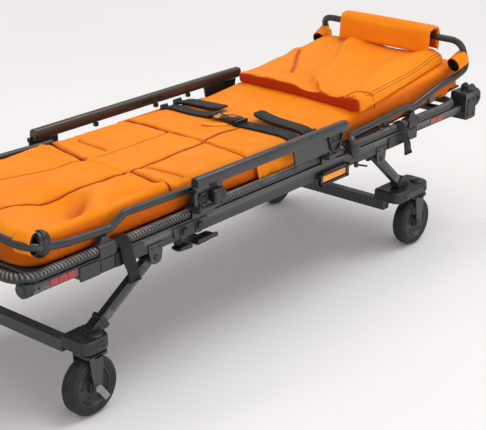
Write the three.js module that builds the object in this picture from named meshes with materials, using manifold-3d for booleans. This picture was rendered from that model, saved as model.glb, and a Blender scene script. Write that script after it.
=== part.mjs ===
// Roll-in stretcher trolley: a box-section chassis on two folding leg sets with swivel casters,
// a rounded perimeter rail, folding side guards, a tilting backrest and a three-part mattress.
// Millimetres. +X towards the head end, -Y is the side called near, +Z up, floor at Z = 0.
import * as THREE from "three";
import { mergeVertices } from "three/addons/utils/BufferGeometryUtils.js";
import Module from "manifold-3d";

const wasm = await Module();
wasm.setup();

// ---- driving dimensions ----
const GAP = 0.4; // clearance between pieces that touch
const SIDES = [["near", -1], ["far", 1]];

const WHEEL = { radius: 80, width: 48, rim: 56, track: 286, trail: 22 };
const CASTER_X = { foot: -792, head: 657 }; // swivel axes
const CROWN_Z = { low: 162, high: 169, top: 172, stem: 186 };

const BEAM = { x0: -977, x1: 908, y0: 250, y1: 290, z0: 364, z1: 409, end: 383, wall: 3 };
const BEAM_DEEP = { x0: -836, x1: 640 }; // the stretch with the full depth
const RAIL = { y: 283, z: 424, r: 13, foot: -1008, head: 885, corner: 100 };
const DECK = { y: 262, z0: 409.4, z1: 415.4, foot: -950 };

const HINGE = { x: 252, z: 424, tilt: 4.5 }; // backrest pivot axis and its lowest slope in degrees
const MATTRESS = { y: 262, z0: 416, z1: 500, foot: -962, head: 955 };
const PAD = { x0: 365, x1: 915, y: 245, thick: 18 };
const LITTER_TUBE = 10.5; // radius of the foot rail
const BACK_TUBE = 11; // radius of the backrest tube
const HEAD_BAR = { x: 892, y: 283, z: 629 };

const ROLLER = { x: 1005, y: 281, z: 415 };
const GUARD = { x0: -443, y: 312, z: 511, w: 28, h: 38, hingeY: 321.5, hingeZ: 440 };
const LATCH = { x: -379, z: 473, shank: 5, half: 23 };
const GUARD_HEAD = { near: { x1: 220, hingeX: 118, plate: 160 }, far: { x1: 467, hingeX: 385, plate: 90 } };
const LEG = {
  foot: { pivotX: -570, endX: -790, endZ: 207, beamX: -831, beamZ0: 162.5, beamZ1: 197.5, beamY: 228 },
  head: { pivotX: 437, endX: 600, endZ: 200, beamX: 522, beamZ0: 144, beamZ1: 178, beamY: 262 },
};
const LEG_PIVOT_Z = 345;
const STRUT = { y0: 258, y1: 286, half: 17 };
const HOUSING = { z0: 172.4, z1: 210, y0: 222, y1: 318, half: 38 };
const AXLE_BEAM_HALF = 16;

const DARK = { color: 0x3a3d3f, roughness: 0.5, metalness: 0.6 };
const BLACK = { color: 0x17181a, roughness: 0.6, metalness: 0.1 };
const RUBBER = { color: 0x121314, roughness: 0.8, metalness: 0 };
const ORANGE = { color: 0xf57c1a, roughness: 0.6, metalness: 0 };
const WEBBING = { color: 0x2b2f33, roughness: 0.9, metalness: 0 };

// ---- geometry helpers ----
function solid(geometry) {
  const bare = geometry.clone();
  bare.deleteAttribute("normal");
  bare.deleteAttribute("uv");
  const merged = mergeVertices(bare, 1e-4);
  return new wasm.Manifold(new wasm.Mesh({
    numProp: 3,
    vertProperties: merged.attributes.position.array,
    triVerts: new Uint32Array(merged.index.array),
  }));
}

function shell(manifold) {
  const mesh = manifold.getMesh();
  return new THREE.BufferGeometry()
    .setAttribute("position", new THREE.BufferAttribute(mesh.vertProperties, 3))
    .setIndex(new THREE.BufferAttribute(mesh.triVerts, 1));
}

function join(...pieces) {
  return shell(pieces.map(solid).reduce((a, b) => a.add(b)));
}

function cut(body, ...tools) {
  return shell(tools.map(solid).reduce((a, b) => a.subtract(b), solid(body)));
}

// A box between two corners; the order of each pair does not matter.
function box(xa, xb, ya, yb, za, zb) {
  const geometry = new THREE.BoxGeometry(Math.abs(xb - xa), Math.abs(yb - ya), Math.abs(zb - za));
  return geometry.translate((xa + xb) / 2, (ya + yb) / 2, (za + zb) / 2);
}

function cylinder(axis, radius, from, to, a, b, sides = 12) {
  const geometry = new THREE.CylinderGeometry(radius, radius, Math.abs(to - from), sides);
  const mid = (from + to) / 2;
  if (axis === "x") return geometry.rotateZ(Math.PI / 2).translate(mid, a, b);
  if (axis === "y") return geometry.translate(a, mid, b);
  return geometry.rotateX(Math.PI / 2).translate(a, b, mid);
}

// A closed outline through [a, b] or [a, b, own radius] points with every corner rounded.
function rounded(points, radius, steps = 3) {
  const outline = points.flatMap(([a, b, own = radius], i) => {
    const here = new THREE.Vector2(a, b);
    const before = new THREE.Vector2(...points.at(i - 1));
    const after = new THREE.Vector2(...points[(i + 1) % points.length]);
    const reach = Math.min(own, here.distanceTo(before) / 2.1, here.distanceTo(after) / 2.1);
    if (reach < 0.01) return [here];
    const start = here.clone().add(before.sub(here).setLength(reach));
    const end = here.clone().add(after.sub(here).setLength(reach));
    return new THREE.QuadraticBezierCurve(start, here, end).getPoints(steps);
  });
  return new THREE.Shape(outline);
}

// A plan outline (X, Y) standing from z0 to z1.
function upright(shape, z0, z1, bevel = 0) {
  return new THREE.ExtrudeGeometry(shape, {
    depth: z1 - z0 - 2 * bevel,
    bevelEnabled: bevel > 0,
    bevelThickness: bevel,
    bevelSize: bevel,
    bevelOffset: -bevel,
    bevelSegments: 1,
    curveSegments: 6,
  }).translate(0, 0, z0 + bevel);
}

// A side outline (X, Z) spanning two Y values.
function across(shape, ya, yb, bevel = 0) {
  const low = Math.min(ya, yb);
  const high = Math.max(ya, yb);
  return upright(shape, low, high, bevel)
    .translate(0, 0, -low - high)
    .rotateX(Math.PI / 2);
}

// An end outline (Y, Z) running between two X values.
function along(shape, xa, xb, bevel = 0) {
  const low = Math.min(xa, xb);
  return upright(shape, 0, Math.abs(xb - xa), bevel)
    .applyMatrix4(new THREE.Matrix4().set(0, 0, 1, low, 1, 0, 0, 0, 0, 1, 0, 0, 0, 0, 0, 1));
}

// A path sampled exactly at its own points, so straight runs cost one step.
class PointPath extends THREE.Curve {
  constructor(points) {
    super();
    this.points = points;
  }
  getPoint(t, target = new THREE.Vector3()) {
    const last = this.points.length - 1;
    const i = Math.min(Math.floor(t * last + 1e-9), last - 1);
    return target.lerpVectors(this.points[i], this.points[i + 1], t * last - i);
  }
  getPointAt(u, target) {
    return this.getPoint(u, target);
  }
  getTangentAt(u, target = new THREE.Vector3()) {
    const last = this.points.length - 1;
    const i = Math.round(u * last);
    const before = this.points[Math.max(i - 1, 0)];
    const after = this.points[Math.min(i + 1, last)];
    return target.subVectors(after, before).normalize();
  }
}

// A route of [x, y, z, bend radius] corners with each bend sampled as an arc.
function bent(corners, steps = 4) {
  return corners.flatMap(([x, y, z, radius], i) => {
    const here = new THREE.Vector3(x, y, z);
    if (!radius || i === 0 || i === corners.length - 1) return [here];
    const before = new THREE.Vector3(...corners[i - 1].slice(0, 3)).sub(here);
    const after = new THREE.Vector3(...corners[i + 1].slice(0, 3)).sub(here);
    const half = before.angleTo(after) / 2;
    const reach = Math.min(radius / Math.tan(half), before.length() / 2.05, after.length() / 2.05);
    const start = here.clone().add(before.setLength(reach));
    const end = here.clone().add(after.setLength(reach));
    const turn = Math.PI - 2 * half;
    const count = Math.max(2, Math.round((steps * turn) / (Math.PI / 2)));
    return new THREE.QuadraticBezierCurve3(start, here, end).getPoints(count);
  });
}

function tube(points, radius, sides = 8) {
  const circle = new THREE.Shape(
    Array.from({ length: sides }, (_, i) => {
      const a = (2 * Math.PI * i) / sides;
      return new THREE.Vector2(radius * Math.cos(a), radius * Math.sin(a));
    }),
  );
  return new THREE.ExtrudeGeometry(circle, {
    steps: points.length - 1,
    bevelEnabled: false,
    extrudePath: new PointPath(points),
  });
}

// A closed [radius, height] profile turned about the Y axis.
function ring(profile, sides) {
  const closed = [...profile, profile[0]].map((p) => new THREE.Vector2(...p));
  return new THREE.LatheGeometry(closed, sides);
}

const object = new THREE.Group();
const backrest = new THREE.Group(); // everything that tilts is drawn flat, then leaned to its rest slope
backrest.position.set(HINGE.x, 0, HINGE.z);
backrest.rotation.y = THREE.MathUtils.degToRad(-HINGE.tilt);
object.add(backrest);

function add(name, geometry, finish, parent = object) {
  const mesh = new THREE.Mesh(geometry, new THREE.MeshStandardMaterial(finish));
  mesh.name = name;
  parent.add(mesh);
  return mesh;
}

// ---- chassis ----
function sideBeam(s) {
  const { x0, x1, y0, y1, z0, z1, end, wall } = BEAM;
  const [d0, d1] = [BEAM_DEEP.x0, BEAM_DEEP.x1];
  const outline = rounded(
    [[x0, end], [d0, end], [d0 + 14, z0], [d1 - 14, z0], [d1, end], [x1, end], [x1, z1], [x0, z1]],
    0,
  );
  const hollow = box(x0 - 1, x1 + 1, s * (y0 + wall), s * (y1 - wall), end + wall, z1 - wall);
  return cut(across(outline, s * y0, s * y1), hollow);
}

function crossTube(x, radius) {
  return cylinder("y", radius, -BEAM.y0 + GAP, BEAM.y0 - GAP, x, (BEAM.end + BEAM.z1) / 2, 16);
}

// Half of the perimeter rail: one long side with both corners, up to the foot sleeve and the centre line.
function sideRail(s) {
  const { y, z, r, foot, head, corner } = RAIL;
  const route = [
    [foot, s * 120, z],
    [foot, s * y, z, corner],
    [head, s * y, z, corner],
    [head, s * GAP, z],
  ];
  return tube(bent(route, 5), r);
}

// The sleeve that joins the two rail halves at the foot end, with a block at each end.
function footBar() {
  const { z, r, foot } = RAIL;
  const bar = cylinder("y", r - 2, -119.5, 119.5, foot, z, 14);
  const blocks = SIDES.map(([, s]) => {
    const block = box(foot - 30, foot + 18, s * 119.5, s * 185, z - 34, z + 18);
    return cut(block, cylinder("y", r + GAP, s * 119.7, s * 190, foot, z, 14));
  });
  const webs = SIDES.map(([, s]) => box(foot - 24, foot + 12, s * 112, s * 119.7, z - 30, z + 14));
  return join(bar, ...blocks, ...webs);
}

// A block closed round the side rail.
function railClamp(s, x0, x1) {
  const profile = rounded([[s * 266, 409.5], [s * 300, 409.5], [s * 300, 441], [s * 266, 441]], 6, 1);
  const hole = cylinder("x", RAIL.r + 1, x0 - 1, x1 + 1, s * RAIL.y, RAIL.z, 10);
  return cut(along(profile, x0, x1), hole);
}

function guardHinge(s, x0, x1, extra = []) {
  const ears = [x0, x1 - 5].map((x) => {
    const ear = rounded([[s * 298, 430], [s * 329, 430], [s * 329, 448], [s * 298, 448]], 6, 1);
    return along(ear, x, x + 5);
  });
  const pin = cylinder("x", 3, x0 + 2, x1 - 2, s * GUARD.hingeY, GUARD.hingeZ, 12);
  return join(railClamp(s, x0, x1), ...ears, pin, ...extra);
}

function headBlock(s) {
  const body = rounded([[908.4, 358], [973, 358], [973, 450], [908.4, 450]], 10);
  const arm = rounded(
    [[936, 440], [936, 470], [966, 474], [1020, 424], [1014, 402], [996, 404], [965, 436]],
    9,
  );
  const arms = [[266, 271], [291, 296]].map(([a, b]) => across(arm, s * a, s * b));
  const pin = cylinder("y", 4, s * 268, s * 293, ROLLER.x, ROLLER.z, 12);
  return join(across(body, s * 246, s * 306), ...arms, pin);
}

function legPivot(s, x) {
  const plate = rounded([[x - 34, 405], [x - 24, 328], [x + 24, 328], [x + 34, 405]], 14);
  const plates = [[290.4, 295], [245, 249.6]].map(([a, b]) => across(plate, s * a, s * b));
  return join(...plates, cylinder("y", 6, s * 247, s * 293, x, LEG_PIVOT_Z, 12));
}

SIDES.forEach(([side, s]) => {
  add(`side_beam_${side}`, sideBeam(s), DARK);
  add(`perimeter_rail_${side}`, sideRail(s), DARK);
  add(`head_block_${side}`, headBlock(s), BLACK);
  add(`foot_leg_pivot_${side}`, legPivot(s, LEG.foot.pivotX), DARK);
  add(`head_leg_pivot_${side}`, legPivot(s, LEG.head.pivotX), DARK);
});
add("foot_cross_tube", crossTube(-950, 12.5), DARK);
add("head_cross_tube", crossTube(860, 12.5), DARK);
add("foot_sleeve_bar", footBar(), BLACK);
add("seat_deck", box(DECK.foot, HINGE.x - 4, -DECK.y, DECK.y, DECK.z0, DECK.z1), BLACK);

// ---- foot rail and its posts ----
function footRail() {
  const half = [
    [-400, 487],
    [-666, 494, 30],
    [-718, 468, 30],
    [-860, 476, 300],
  ];
  const side = (s) => half.map(([x, z, r]) => [x, s * 280, z, r]);
  const corner = (s) => [-972, s * 280, 494, 100];
  const rise = (s) => [-972, s * 120, 500, 60];
  const route = [...side(-1), corner(-1), rise(-1), rise(1), corner(1), ...side(1).reverse()];
  return tube(bent(route), LITTER_TUBE);
}

function footRailPost(s) {
  const web = rounded([[-770, 438], [-712, 438], [-724, 457], [-748, 457]], 4, 2);
  return join(railClamp(s, -770, -712), across(web, s * 273, s * 287));
}

add("foot_rail", footRail(), DARK);

SIDES.forEach(([side, s]) => {
  add(`foot_rail_post_${side}`, footRailPost(s), DARK);
  const post = box(-425, -402, s * 273, s * 287, 439, 487 - LITTER_TUBE - GAP);
  add(`guard_hinge_foot_${side}`, guardHinge(s, -440, -352, [post]), DARK);
  const { hingeX } = GUARD_HEAD[side];
  add(`guard_hinge_head_${side}`, guardHinge(s, hingeX, hingeX + 66), DARK);
});

// ---- backrest pivots and rests ----
function backrestPivot(s) {
  const pin = cylinder("y", 6, s * 297, s * 326, HINGE.x, HINGE.z, 12);
  const disc = cylinder("y", 22, s * 323.2, s * 329, HINGE.x, HINGE.z, 16);
  return join(railClamp(s, HINGE.x - 12, HINGE.x + 40), pin, disc);
}

function backrestRest(s) {
  const web = rounded([[578, 438], [632, 438], [616, 456.5], [594, 456.5]], 4, 2);
  return join(railClamp(s, 578, 632), across(web, s * 275, s * 291));
}

SIDES.forEach(([side, s]) => {
  add(`backrest_pivot_${side}`, backrestPivot(s), BLACK);
  add(`backrest_rest_${side}`, backrestRest(s), DARK);
});

// ---- backrest frame ----
function backTube() {
  const half = [
    [252, 311.7, 411],
    [253, 311.7, 452, 20],
    [282, 283, 459, 20],
    [440, 283, 468, 200],
    [578, 283, 477, 40],
    [606, 283, 469, 40],
    [650, 283, 478, 40],
    [768, 283, 504, 80],
    [872, 283, 515, 80],
    [938, 283, 531, 34],
    [HEAD_BAR.x, HEAD_BAR.y, HEAD_BAR.z, 42],
  ];
  const side = (s) => half.map(([x, y, z, r]) => [x, s * y, z, r]);
  const body = tube(bent([...side(-1), ...side(1).reverse()]), BACK_TUBE);
  const bores = SIDES.map(([, s]) => cylinder("y", 6 + GAP, s * 296, s * 328, HINGE.x, HINGE.z, 12));
  return cut(body, ...bores);
}
add("backrest_tube", backTube(), DARK);

// Local to the leaned group: X and Z are measured from the pivot axis.
const flat = (geometry) => geometry.translate(-HINGE.x, 0, -HINGE.z);

const TABS = [480, 740]; // where the deck reaches out to the backrest tube
function backDeck() {
  const plate = box(HINGE.x + 6, 930, -DECK.y, DECK.y, DECK.z0 + 0.6, DECK.z1 + 0.2);
  const tabs = SIDES.flatMap(([, s]) =>
    TABS.map((x) => box(x, x + 30, s * (DECK.y + GAP), s * 269, DECK.z0 + 1, DECK.z0 + 36)),
  );
  const feet = SIDES.flatMap(([, s]) =>
    TABS.map((x) => box(x, x + 30, s * 250, s * 269, DECK.z0 + 1, DECK.z1)),
  );
  return flat(join(plate, ...tabs, ...feet));
}

// ---- mattress ----
function mattressBlank(x0, x1, footRadius, headRadius) {
  const { y, z0, z1 } = MATTRESS;
  const corners = [[x0, -y, footRadius], [x1, -y, headRadius], [x1, y, headRadius], [x0, y, footRadius]];
  return upright(rounded(corners, 0, 5), z0, z1, 10);
}

// A wedge that opens upwards from the pivot axis, so the backrest can rise without pinching.
function notch(towards, lean) {
  const reach = 160;
  const tip = [HINGE.x, HINGE.z];
  const slanted = [HINGE.x + reach * Math.cos(lean), HINGE.z + reach * Math.sin(lean)];
  const wedge = [tip, slanted, [HINGE.x - towards * 4, slanted[1]], [HINGE.x - towards * 4, HINGE.z]];
  const outline = new THREE.Shape(wedge.map((p) => new THREE.Vector2(...p)));
  return across(outline, -MATTRESS.y - 5, MATTRESS.y + 5);
}

function seatMattress() {
  const blank = mattressBlank(MATTRESS.foot, HINGE.x - 3, 90, 14);
  return cut(blank, notch(-1, THREE.MathUtils.degToRad(135)));
}

function backMattress() {
  const blank = mattressBlank(HINGE.x + 6, MATTRESS.head, 14, 40);
  return flat(cut(blank, notch(1, THREE.MathUtils.degToRad(60))));
}

add("seat_mattress", seatMattress(), ORANGE);
add("back_mattress", backMattress(), ORANGE, backrest);
add("backrest_deck", backDeck(), BLACK, backrest);

function backPad() {
  const outline = rounded([[PAD.x0, -PAD.y], [PAD.x1, -PAD.y], [PAD.x1, PAD.y], [PAD.x0, PAD.y]], 30, 4);
  const low = MATTRESS.z1 + GAP;
  return flat(upright(outline, low, low + PAD.thick, 6));
}
add("back_pad", backPad(), ORANGE, backrest);

// The folded head roll hangs over the head bar.
function headRoll() {
  const outline = rounded(
    [[872, 571], [857, 600], [856, 642], [874, 664], [906, 664], [924, 642], [922, 600], [908, 575]],
    16,
  );
  const bore = cylinder("y", BACK_TUBE + 0.6, -200, 200, HEAD_BAR.x, HEAD_BAR.z, 12);
  return cut(across(outline, -182, 182, 6), bore);
}
add("head_roll", headRoll(), ORANGE);

function safetyBelt() {
  const top = MATTRESS.z1 + GAP;
  const outline = rounded([[-2, -258], [88, -258], [78, 230], [8, 230]], 14, 3);
  return upright(outline, top, top + 9);
}
add("safety_belt", safetyBelt(), WEBBING);

// ---- side guards ----
function sideGuard(s, { x1, hingeX, plate: reach }) {
  const { x0, y, z, w, h, hingeY, hingeZ } = GUARD;
  const [yIn, yOut, low, top] = [s * (y - w / 2), s * (y + w / 2), z - h / 2, z + h / 2];
  const grip = rounded([[yIn, low], [yOut, low], [yOut, top], [yIn, top]], 14);
  const plate = (points) => across(rounded(points, 6, 3), s * 316, s * 321);
  const footPlate = plate(
    [
      [-434, 442], [-434, 450], [-452, 459], [-452, 500],
      [-344, 500], [-344, 459], [-362, 450], [-362, 442],
    ],
  );
  const end = hingeX + 10;
  const headPlate = plate([[hingeX - reach + 8, 452], [hingeX - reach, 500], [end, 500], [end, 455]]);
  const shieldPoints = [[7, 442], [4, 500], [68, 500], [60, 452], [60, 442]];
  const shield = plate(shieldPoints.map(([x, up]) => [hingeX + x, up]));
  const barrels = [[-434, -358], [hingeX + 6, hingeX + 60]];
  const knuckles = barrels.map(([a, b]) => cylinder("x", 6.5, a, b, s * hingeY, hingeZ, 14));
  const body = join(along(grip, x0, x1), footPlate, headPlate, shield, ...knuckles);
  const hingeBore = cylinder("x", 3 + GAP, x0, x1, s * hingeY, hingeZ, 12);
  const latchBore = cylinder("y", LATCH.shank + GAP, s * 314, s * 323, LATCH.x, LATCH.z, 16);
  return cut(body, hingeBore, latchBore);
}

function latchKnob(s) {
  const { x, z, shank, half } = LATCH;
  const section = rounded([[s * 323, z - 18], [s * 347, z - 18], [s * 347, z + 18], [s * 323, z + 18]], 9, 3);
  const stem = cylinder("y", shank, s * 303, s * 326, x, z, 16);
  const collar = cylinder("y", shank + 4, s * 303, s * 307.5, x, z, 16);
  return join(along(section, x - half, x + half), stem, collar);
}

SIDES.forEach(([side, s]) => {
  add(`side_guard_${side}`, sideGuard(s, GUARD_HEAD[side]), DARK);
  add(`guard_latch_knob_${side}`, latchKnob(s), BLACK);
});

// ---- leg sets ----
function strutOutline({ pivotX, endX, endZ }, grow) {
  const top = new THREE.Vector2(pivotX, LEG_PIVOT_Z);
  const run = new THREE.Vector2(endX, endZ).sub(top).normalize();
  const end = new THREE.Vector2(endX, endZ).addScaledVector(run, grow);
  const r = STRUT.half + grow;
  const side = new THREE.Vector2(-run.y, run.x).multiplyScalar(r);
  const start = Math.atan2(side.y, side.x);
  const points = Array.from({ length: 7 }, (_, i) => {
    const a = start + (Math.PI * i) / 6;
    return new THREE.Vector2(top.x + r * Math.cos(a), top.y + r * Math.sin(a));
  });
  points.push(end.clone().sub(side), end.clone().add(side));
  return new THREE.Shape(points);
}

function strut(leg, s) {
  const bore = cylinder("y", 6 + GAP, s * 250, s * 290, leg.pivotX, LEG_PIVOT_Z, 12);
  return cut(across(strutOutline(leg, 0), s * STRUT.y0, s * STRUT.y1), bore);
}

// The square cross beam with a caster housing at each end.
function axleBeam(end) {
  const leg = LEG[end];
  const { z0, z1, y0, y1, half } = HOUSING;
  const casterX = CASTER_X[end];
  const beamLow = leg.beamX - AXLE_BEAM_HALF;
  const beam = box(beamLow, leg.beamX + AXLE_BEAM_HALF, -leg.beamY, leg.beamY, leg.beamZ0, leg.beamZ1);
  const housings = SIDES.map(([, s]) => {
    const high = casterX + half;
    const plan = rounded([[beamLow, s * y0], [high, s * y0], [high, s * y1], [beamLow, s * y1]], 24);
    return upright(plan, z0, z1, 6);
  });
  const sockets = SIDES.map(([, s]) =>
    across(strutOutline(leg, GAP), s * (STRUT.y0 - GAP), s * (STRUT.y1 + GAP)),
  );
  const bores = SIDES.map(([, s]) => {
    return cylinder("z", 9, z0 - 1, CROWN_Z.stem + 2, casterX, s * WHEEL.track, 12);
  });
  return cut(join(beam, ...housings), ...sockets, ...bores);
}

["foot", "head"].forEach((end) => {
  add(`${end}_axle_beam`, axleBeam(end), DARK);
  SIDES.forEach(([side, s]) => add(`${end}_strut_${side}`, strut(LEG[end], s), DARK));
});

// ---- casters, drawn about their swivel axis and trailing towards -X ----
function fork(s, withLever) {
  const { radius, trail, width } = WHEEL;
  const inner = width / 2 + 3;
  const outer = inner + 5;
  const plan = rounded([[-46, -outer], [24, -outer], [24, outer], [-46, outer]], 14, 2);
  const crown = upright(plan, CROWN_Z.low, CROWN_Z.high);
  const race = cylinder("z", 25, CROWN_Z.high - 1, CROWN_Z.top, 0, 0, 16);
  const stem = cylinder("z", 8.5, CROWN_Z.high, CROWN_Z.stem, 0, 0, 12);
  const leg = rounded([[-trail - 13, radius - 13], [-trail + 13, radius - 13], [-2, 167], [-42, 167]], 12, 2);
  const legs = [[-outer, -inner], [inner, outer]].map(([a, b]) => across(leg, a, b));
  const axle = cylinder("y", 6, -outer + 1, outer - 1, -trail, radius, 12);
  const capAt = (side) => cylinder("y", 10, side * (outer - 1), side * (outer + 3), -trail, radius, 12);
  const spigot = cylinder("y", 4, s * (outer - 1), s * (outer + 6), -trail, radius, 12);
  return join(crown, race, stem, ...legs, axle, capAt(-s), withLever ? spigot : capAt(s));
}

function brakeLever(s) {
  const { radius, trail, width } = WHEEL;
  const face = width / 2 + 8.4;
  const corners = [[-9, 9], [7, 9], [38, -34], [22, -42]];
  const blade = rounded(corners.map(([x, z]) => [x - trail, z + radius]), 7);
  const bore = cylinder("y", 4 + GAP, s * (face - 2), s * (face + 8), -trail, radius, 12);
  return cut(across(blade, s * face, s * (face + 4.5)), bore);
}

function tyre() {
  const { radius: r, width, rim } = WHEEL;
  const w = width / 2;
  const profile = [[rim, -w + 1], [r - 6, -w + 1], [r, -w + 10], [r, w - 10], [r - 6, w - 1], [rim, w - 1]];
  return ring(profile, 24);
}

function hub() {
  const { width, rim } = WHEEL;
  const w = width / 2;
  const bore = 6 + GAP;
  const edge = rim - 4 * GAP;
  return ring([[bore, -w - 1], [17, -w - 1], [19, -9], [47, -9], [50, -w + 3], [edge, -w + 3],
    [edge, w - 3], [50, w - 3], [47, 9], [19, 9], [17, w + 1], [bore, w + 1]], 16);
}

Object.entries(CASTER_X).forEach(([end, x]) => {
  SIDES.forEach(([side, s]) => {
    const caster = new THREE.Group();
    caster.position.set(x, s * WHEEL.track, 0);
    object.add(caster);
    add(`${end}_fork_${side}`, fork(s, end === "foot"), DARK, caster);
    add(`${end}_tyre_${side}`, tyre(), RUBBER, caster).position.set(-WHEEL.trail, 0, WHEEL.radius);
    add(`${end}_hub_${side}`, hub(), DARK, caster).position.set(-WHEEL.trail, 0, WHEEL.radius);
    if (end === "foot") add(`brake_lever_${side}`, brakeLever(s), DARK, caster);
  });
});

// ---- loading rollers at the head end ----
function roller(s) {
  const hole = 4 + GAP;
  const profile = [[hole, -9], [20, -9], [32, -6], [32, 6], [20, 9], [hole, 9]];
  return ring(profile, 16).translate(ROLLER.x, s * ROLLER.y, ROLLER.z);
}
SIDES.forEach(([side, s]) => add(`loading_roller_${side}`, roller(s), BLACK));

// ---- release pedal and carry handle on the near beam ----
function releasePedal() {
  const arm = rounded(
    [
      [-476, 359], [-476, 340], [-440, 336], [-392, 343],
      [-392, 350], [-430, 350], [-446, 363.4], [-462, 363.4],
    ],
    5,
  );
  const tread = box(-436, -342, -306, -262, 336, 343);
  return join(across(arm, -286, -264), tread);
}
add("release_pedal", releasePedal(), BLACK);

function carryHandle() {
  const outline = rounded([[116, 386], [112, 356], [122, 344], [240, 344], [252, 356], [252, 386]], 8);
  return across(outline, -303, -BEAM.y1 - GAP);
}
add("carry_handle", carryHandle(), BLACK);

export default object;
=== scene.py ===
"""A roll-in stretcher trolley with folding leg sets on casters, side guards and an orange mattress.

Pieces are drawn in millimetres in the row frame and stored in metres.
+X is the head end, -Y the near side and +Z up, with the floor at Z = 0.
"""

import math

import bmesh
import bpy
import numpy as np
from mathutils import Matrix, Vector
from mathutils.bvhtree import BVHTree


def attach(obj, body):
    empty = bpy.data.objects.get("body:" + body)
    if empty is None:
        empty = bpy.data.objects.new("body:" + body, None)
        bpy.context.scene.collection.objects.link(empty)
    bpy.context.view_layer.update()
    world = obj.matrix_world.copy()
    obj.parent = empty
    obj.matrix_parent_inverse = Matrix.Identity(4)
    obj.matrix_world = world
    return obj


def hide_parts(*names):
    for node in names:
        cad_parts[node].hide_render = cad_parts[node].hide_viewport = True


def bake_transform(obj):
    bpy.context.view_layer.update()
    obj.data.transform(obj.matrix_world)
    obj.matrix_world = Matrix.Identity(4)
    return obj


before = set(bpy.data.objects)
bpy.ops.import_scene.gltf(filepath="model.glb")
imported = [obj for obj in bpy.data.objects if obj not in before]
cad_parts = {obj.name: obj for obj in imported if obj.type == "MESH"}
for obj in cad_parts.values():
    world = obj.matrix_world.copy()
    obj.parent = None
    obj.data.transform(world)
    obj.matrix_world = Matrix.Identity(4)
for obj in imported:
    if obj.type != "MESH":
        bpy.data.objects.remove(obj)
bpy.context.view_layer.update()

MM = 0.001
SIDES = {"near": -1, "far": 1}

# ---- driving dimensions, in millimetres ----
WHEEL = {"radius": 80, "width": 48, "rim": 56, "track": 286, "trail": 22}
CASTER_X = {"foot": -792, "head": 657}
CROWN = {"low": 162, "high": 169, "top": 172}
BEAM = {"x0": -977, "x1": 908, "y0": 250, "y1": 290, "z0": 364, "z1": 409, "end": 383}
BEAM_DEEP = (-836, 640)
RAIL = {"y": 283, "z": 424, "r": 13, "foot": -1008, "head": 885, "corner": 66}
HINGE = {"x": 252, "z": 424, "tilt": 4.5}
MATTRESS = {"y": 262, "z0": 416, "z1": 500, "foot": -962, "head": 955, "foot_r": 90, "head_r": 36}
PAD = {"thick": 18, "corners": [(352, -270), (902, -226), (902, 258), (378, 236)]}
HEAD_BAR = {"x": 892, "y": 283, "z": 629}
ROLLER = {"x": 1005, "y": 281, "z": 415, "r": 32}
LATCH = {"x": -379, "z": 473, "shank": 5, "half": 23}
GUARD = {"x0": -443, "y": 312, "z": 511, "w": 28, "h": 38, "hinge_y": 321.5, "hinge_z": 440}
GUARD_HEAD = {
    "near": {"x1": 220, "hinge_x": 118, "plate": 160},
    "far": {"x1": 467, "hinge_x": 385, "plate": 90},
}
LEG = {
    "foot": {"pivot": -570, "end": (-790, 207), "beam_x": -831, "beam_z": (162.5, 197.5), "beam_y": 228},
    "head": {"pivot": 437, "end": (600, 200), "beam_x": 522, "beam_z": (144, 178), "beam_y": 262},
}
LEG_PIVOT_Z = 345
STRUT = {"y0": 261, "y1": 282, "half": 14}
HOUSING = {"z0": 172.4, "z1": 210, "y0": 222, "y1": 318, "half": 38}
FOOT_TUBE = 10.5
BACK_TUBE = 11

# ---- camera: the photograph's viewing angle ----
CAMERA_AT = (-2.7389, -2.4165, 1.6623)
CAMERA_HEADING = 0.702  # turn of the view direction from +X towards +Y, radians
CAMERA_DOWN = 0.3775  # downward pitch, radians
CAMERA_LENS = 95.8  # millimetres, on a 36 mm wide sensor


def make_camera():
    data = bpy.data.cameras.new("photo_camera")
    data.sensor_width = 36
    data.sensor_fit = "HORIZONTAL"
    data.lens = CAMERA_LENS
    camera = bpy.data.objects.new("photo_camera", data)
    bpy.context.scene.collection.objects.link(camera)
    level = math.cos(CAMERA_DOWN)
    look = Vector((
        math.cos(CAMERA_HEADING) * level,
        math.sin(CAMERA_HEADING) * level,
        -math.sin(CAMERA_DOWN),
    ))
    camera.location = CAMERA_AT
    camera.rotation_euler = look.to_track_quat("-Z", "Y").to_euler()
    bpy.context.scene.camera = camera


make_camera()


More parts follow.
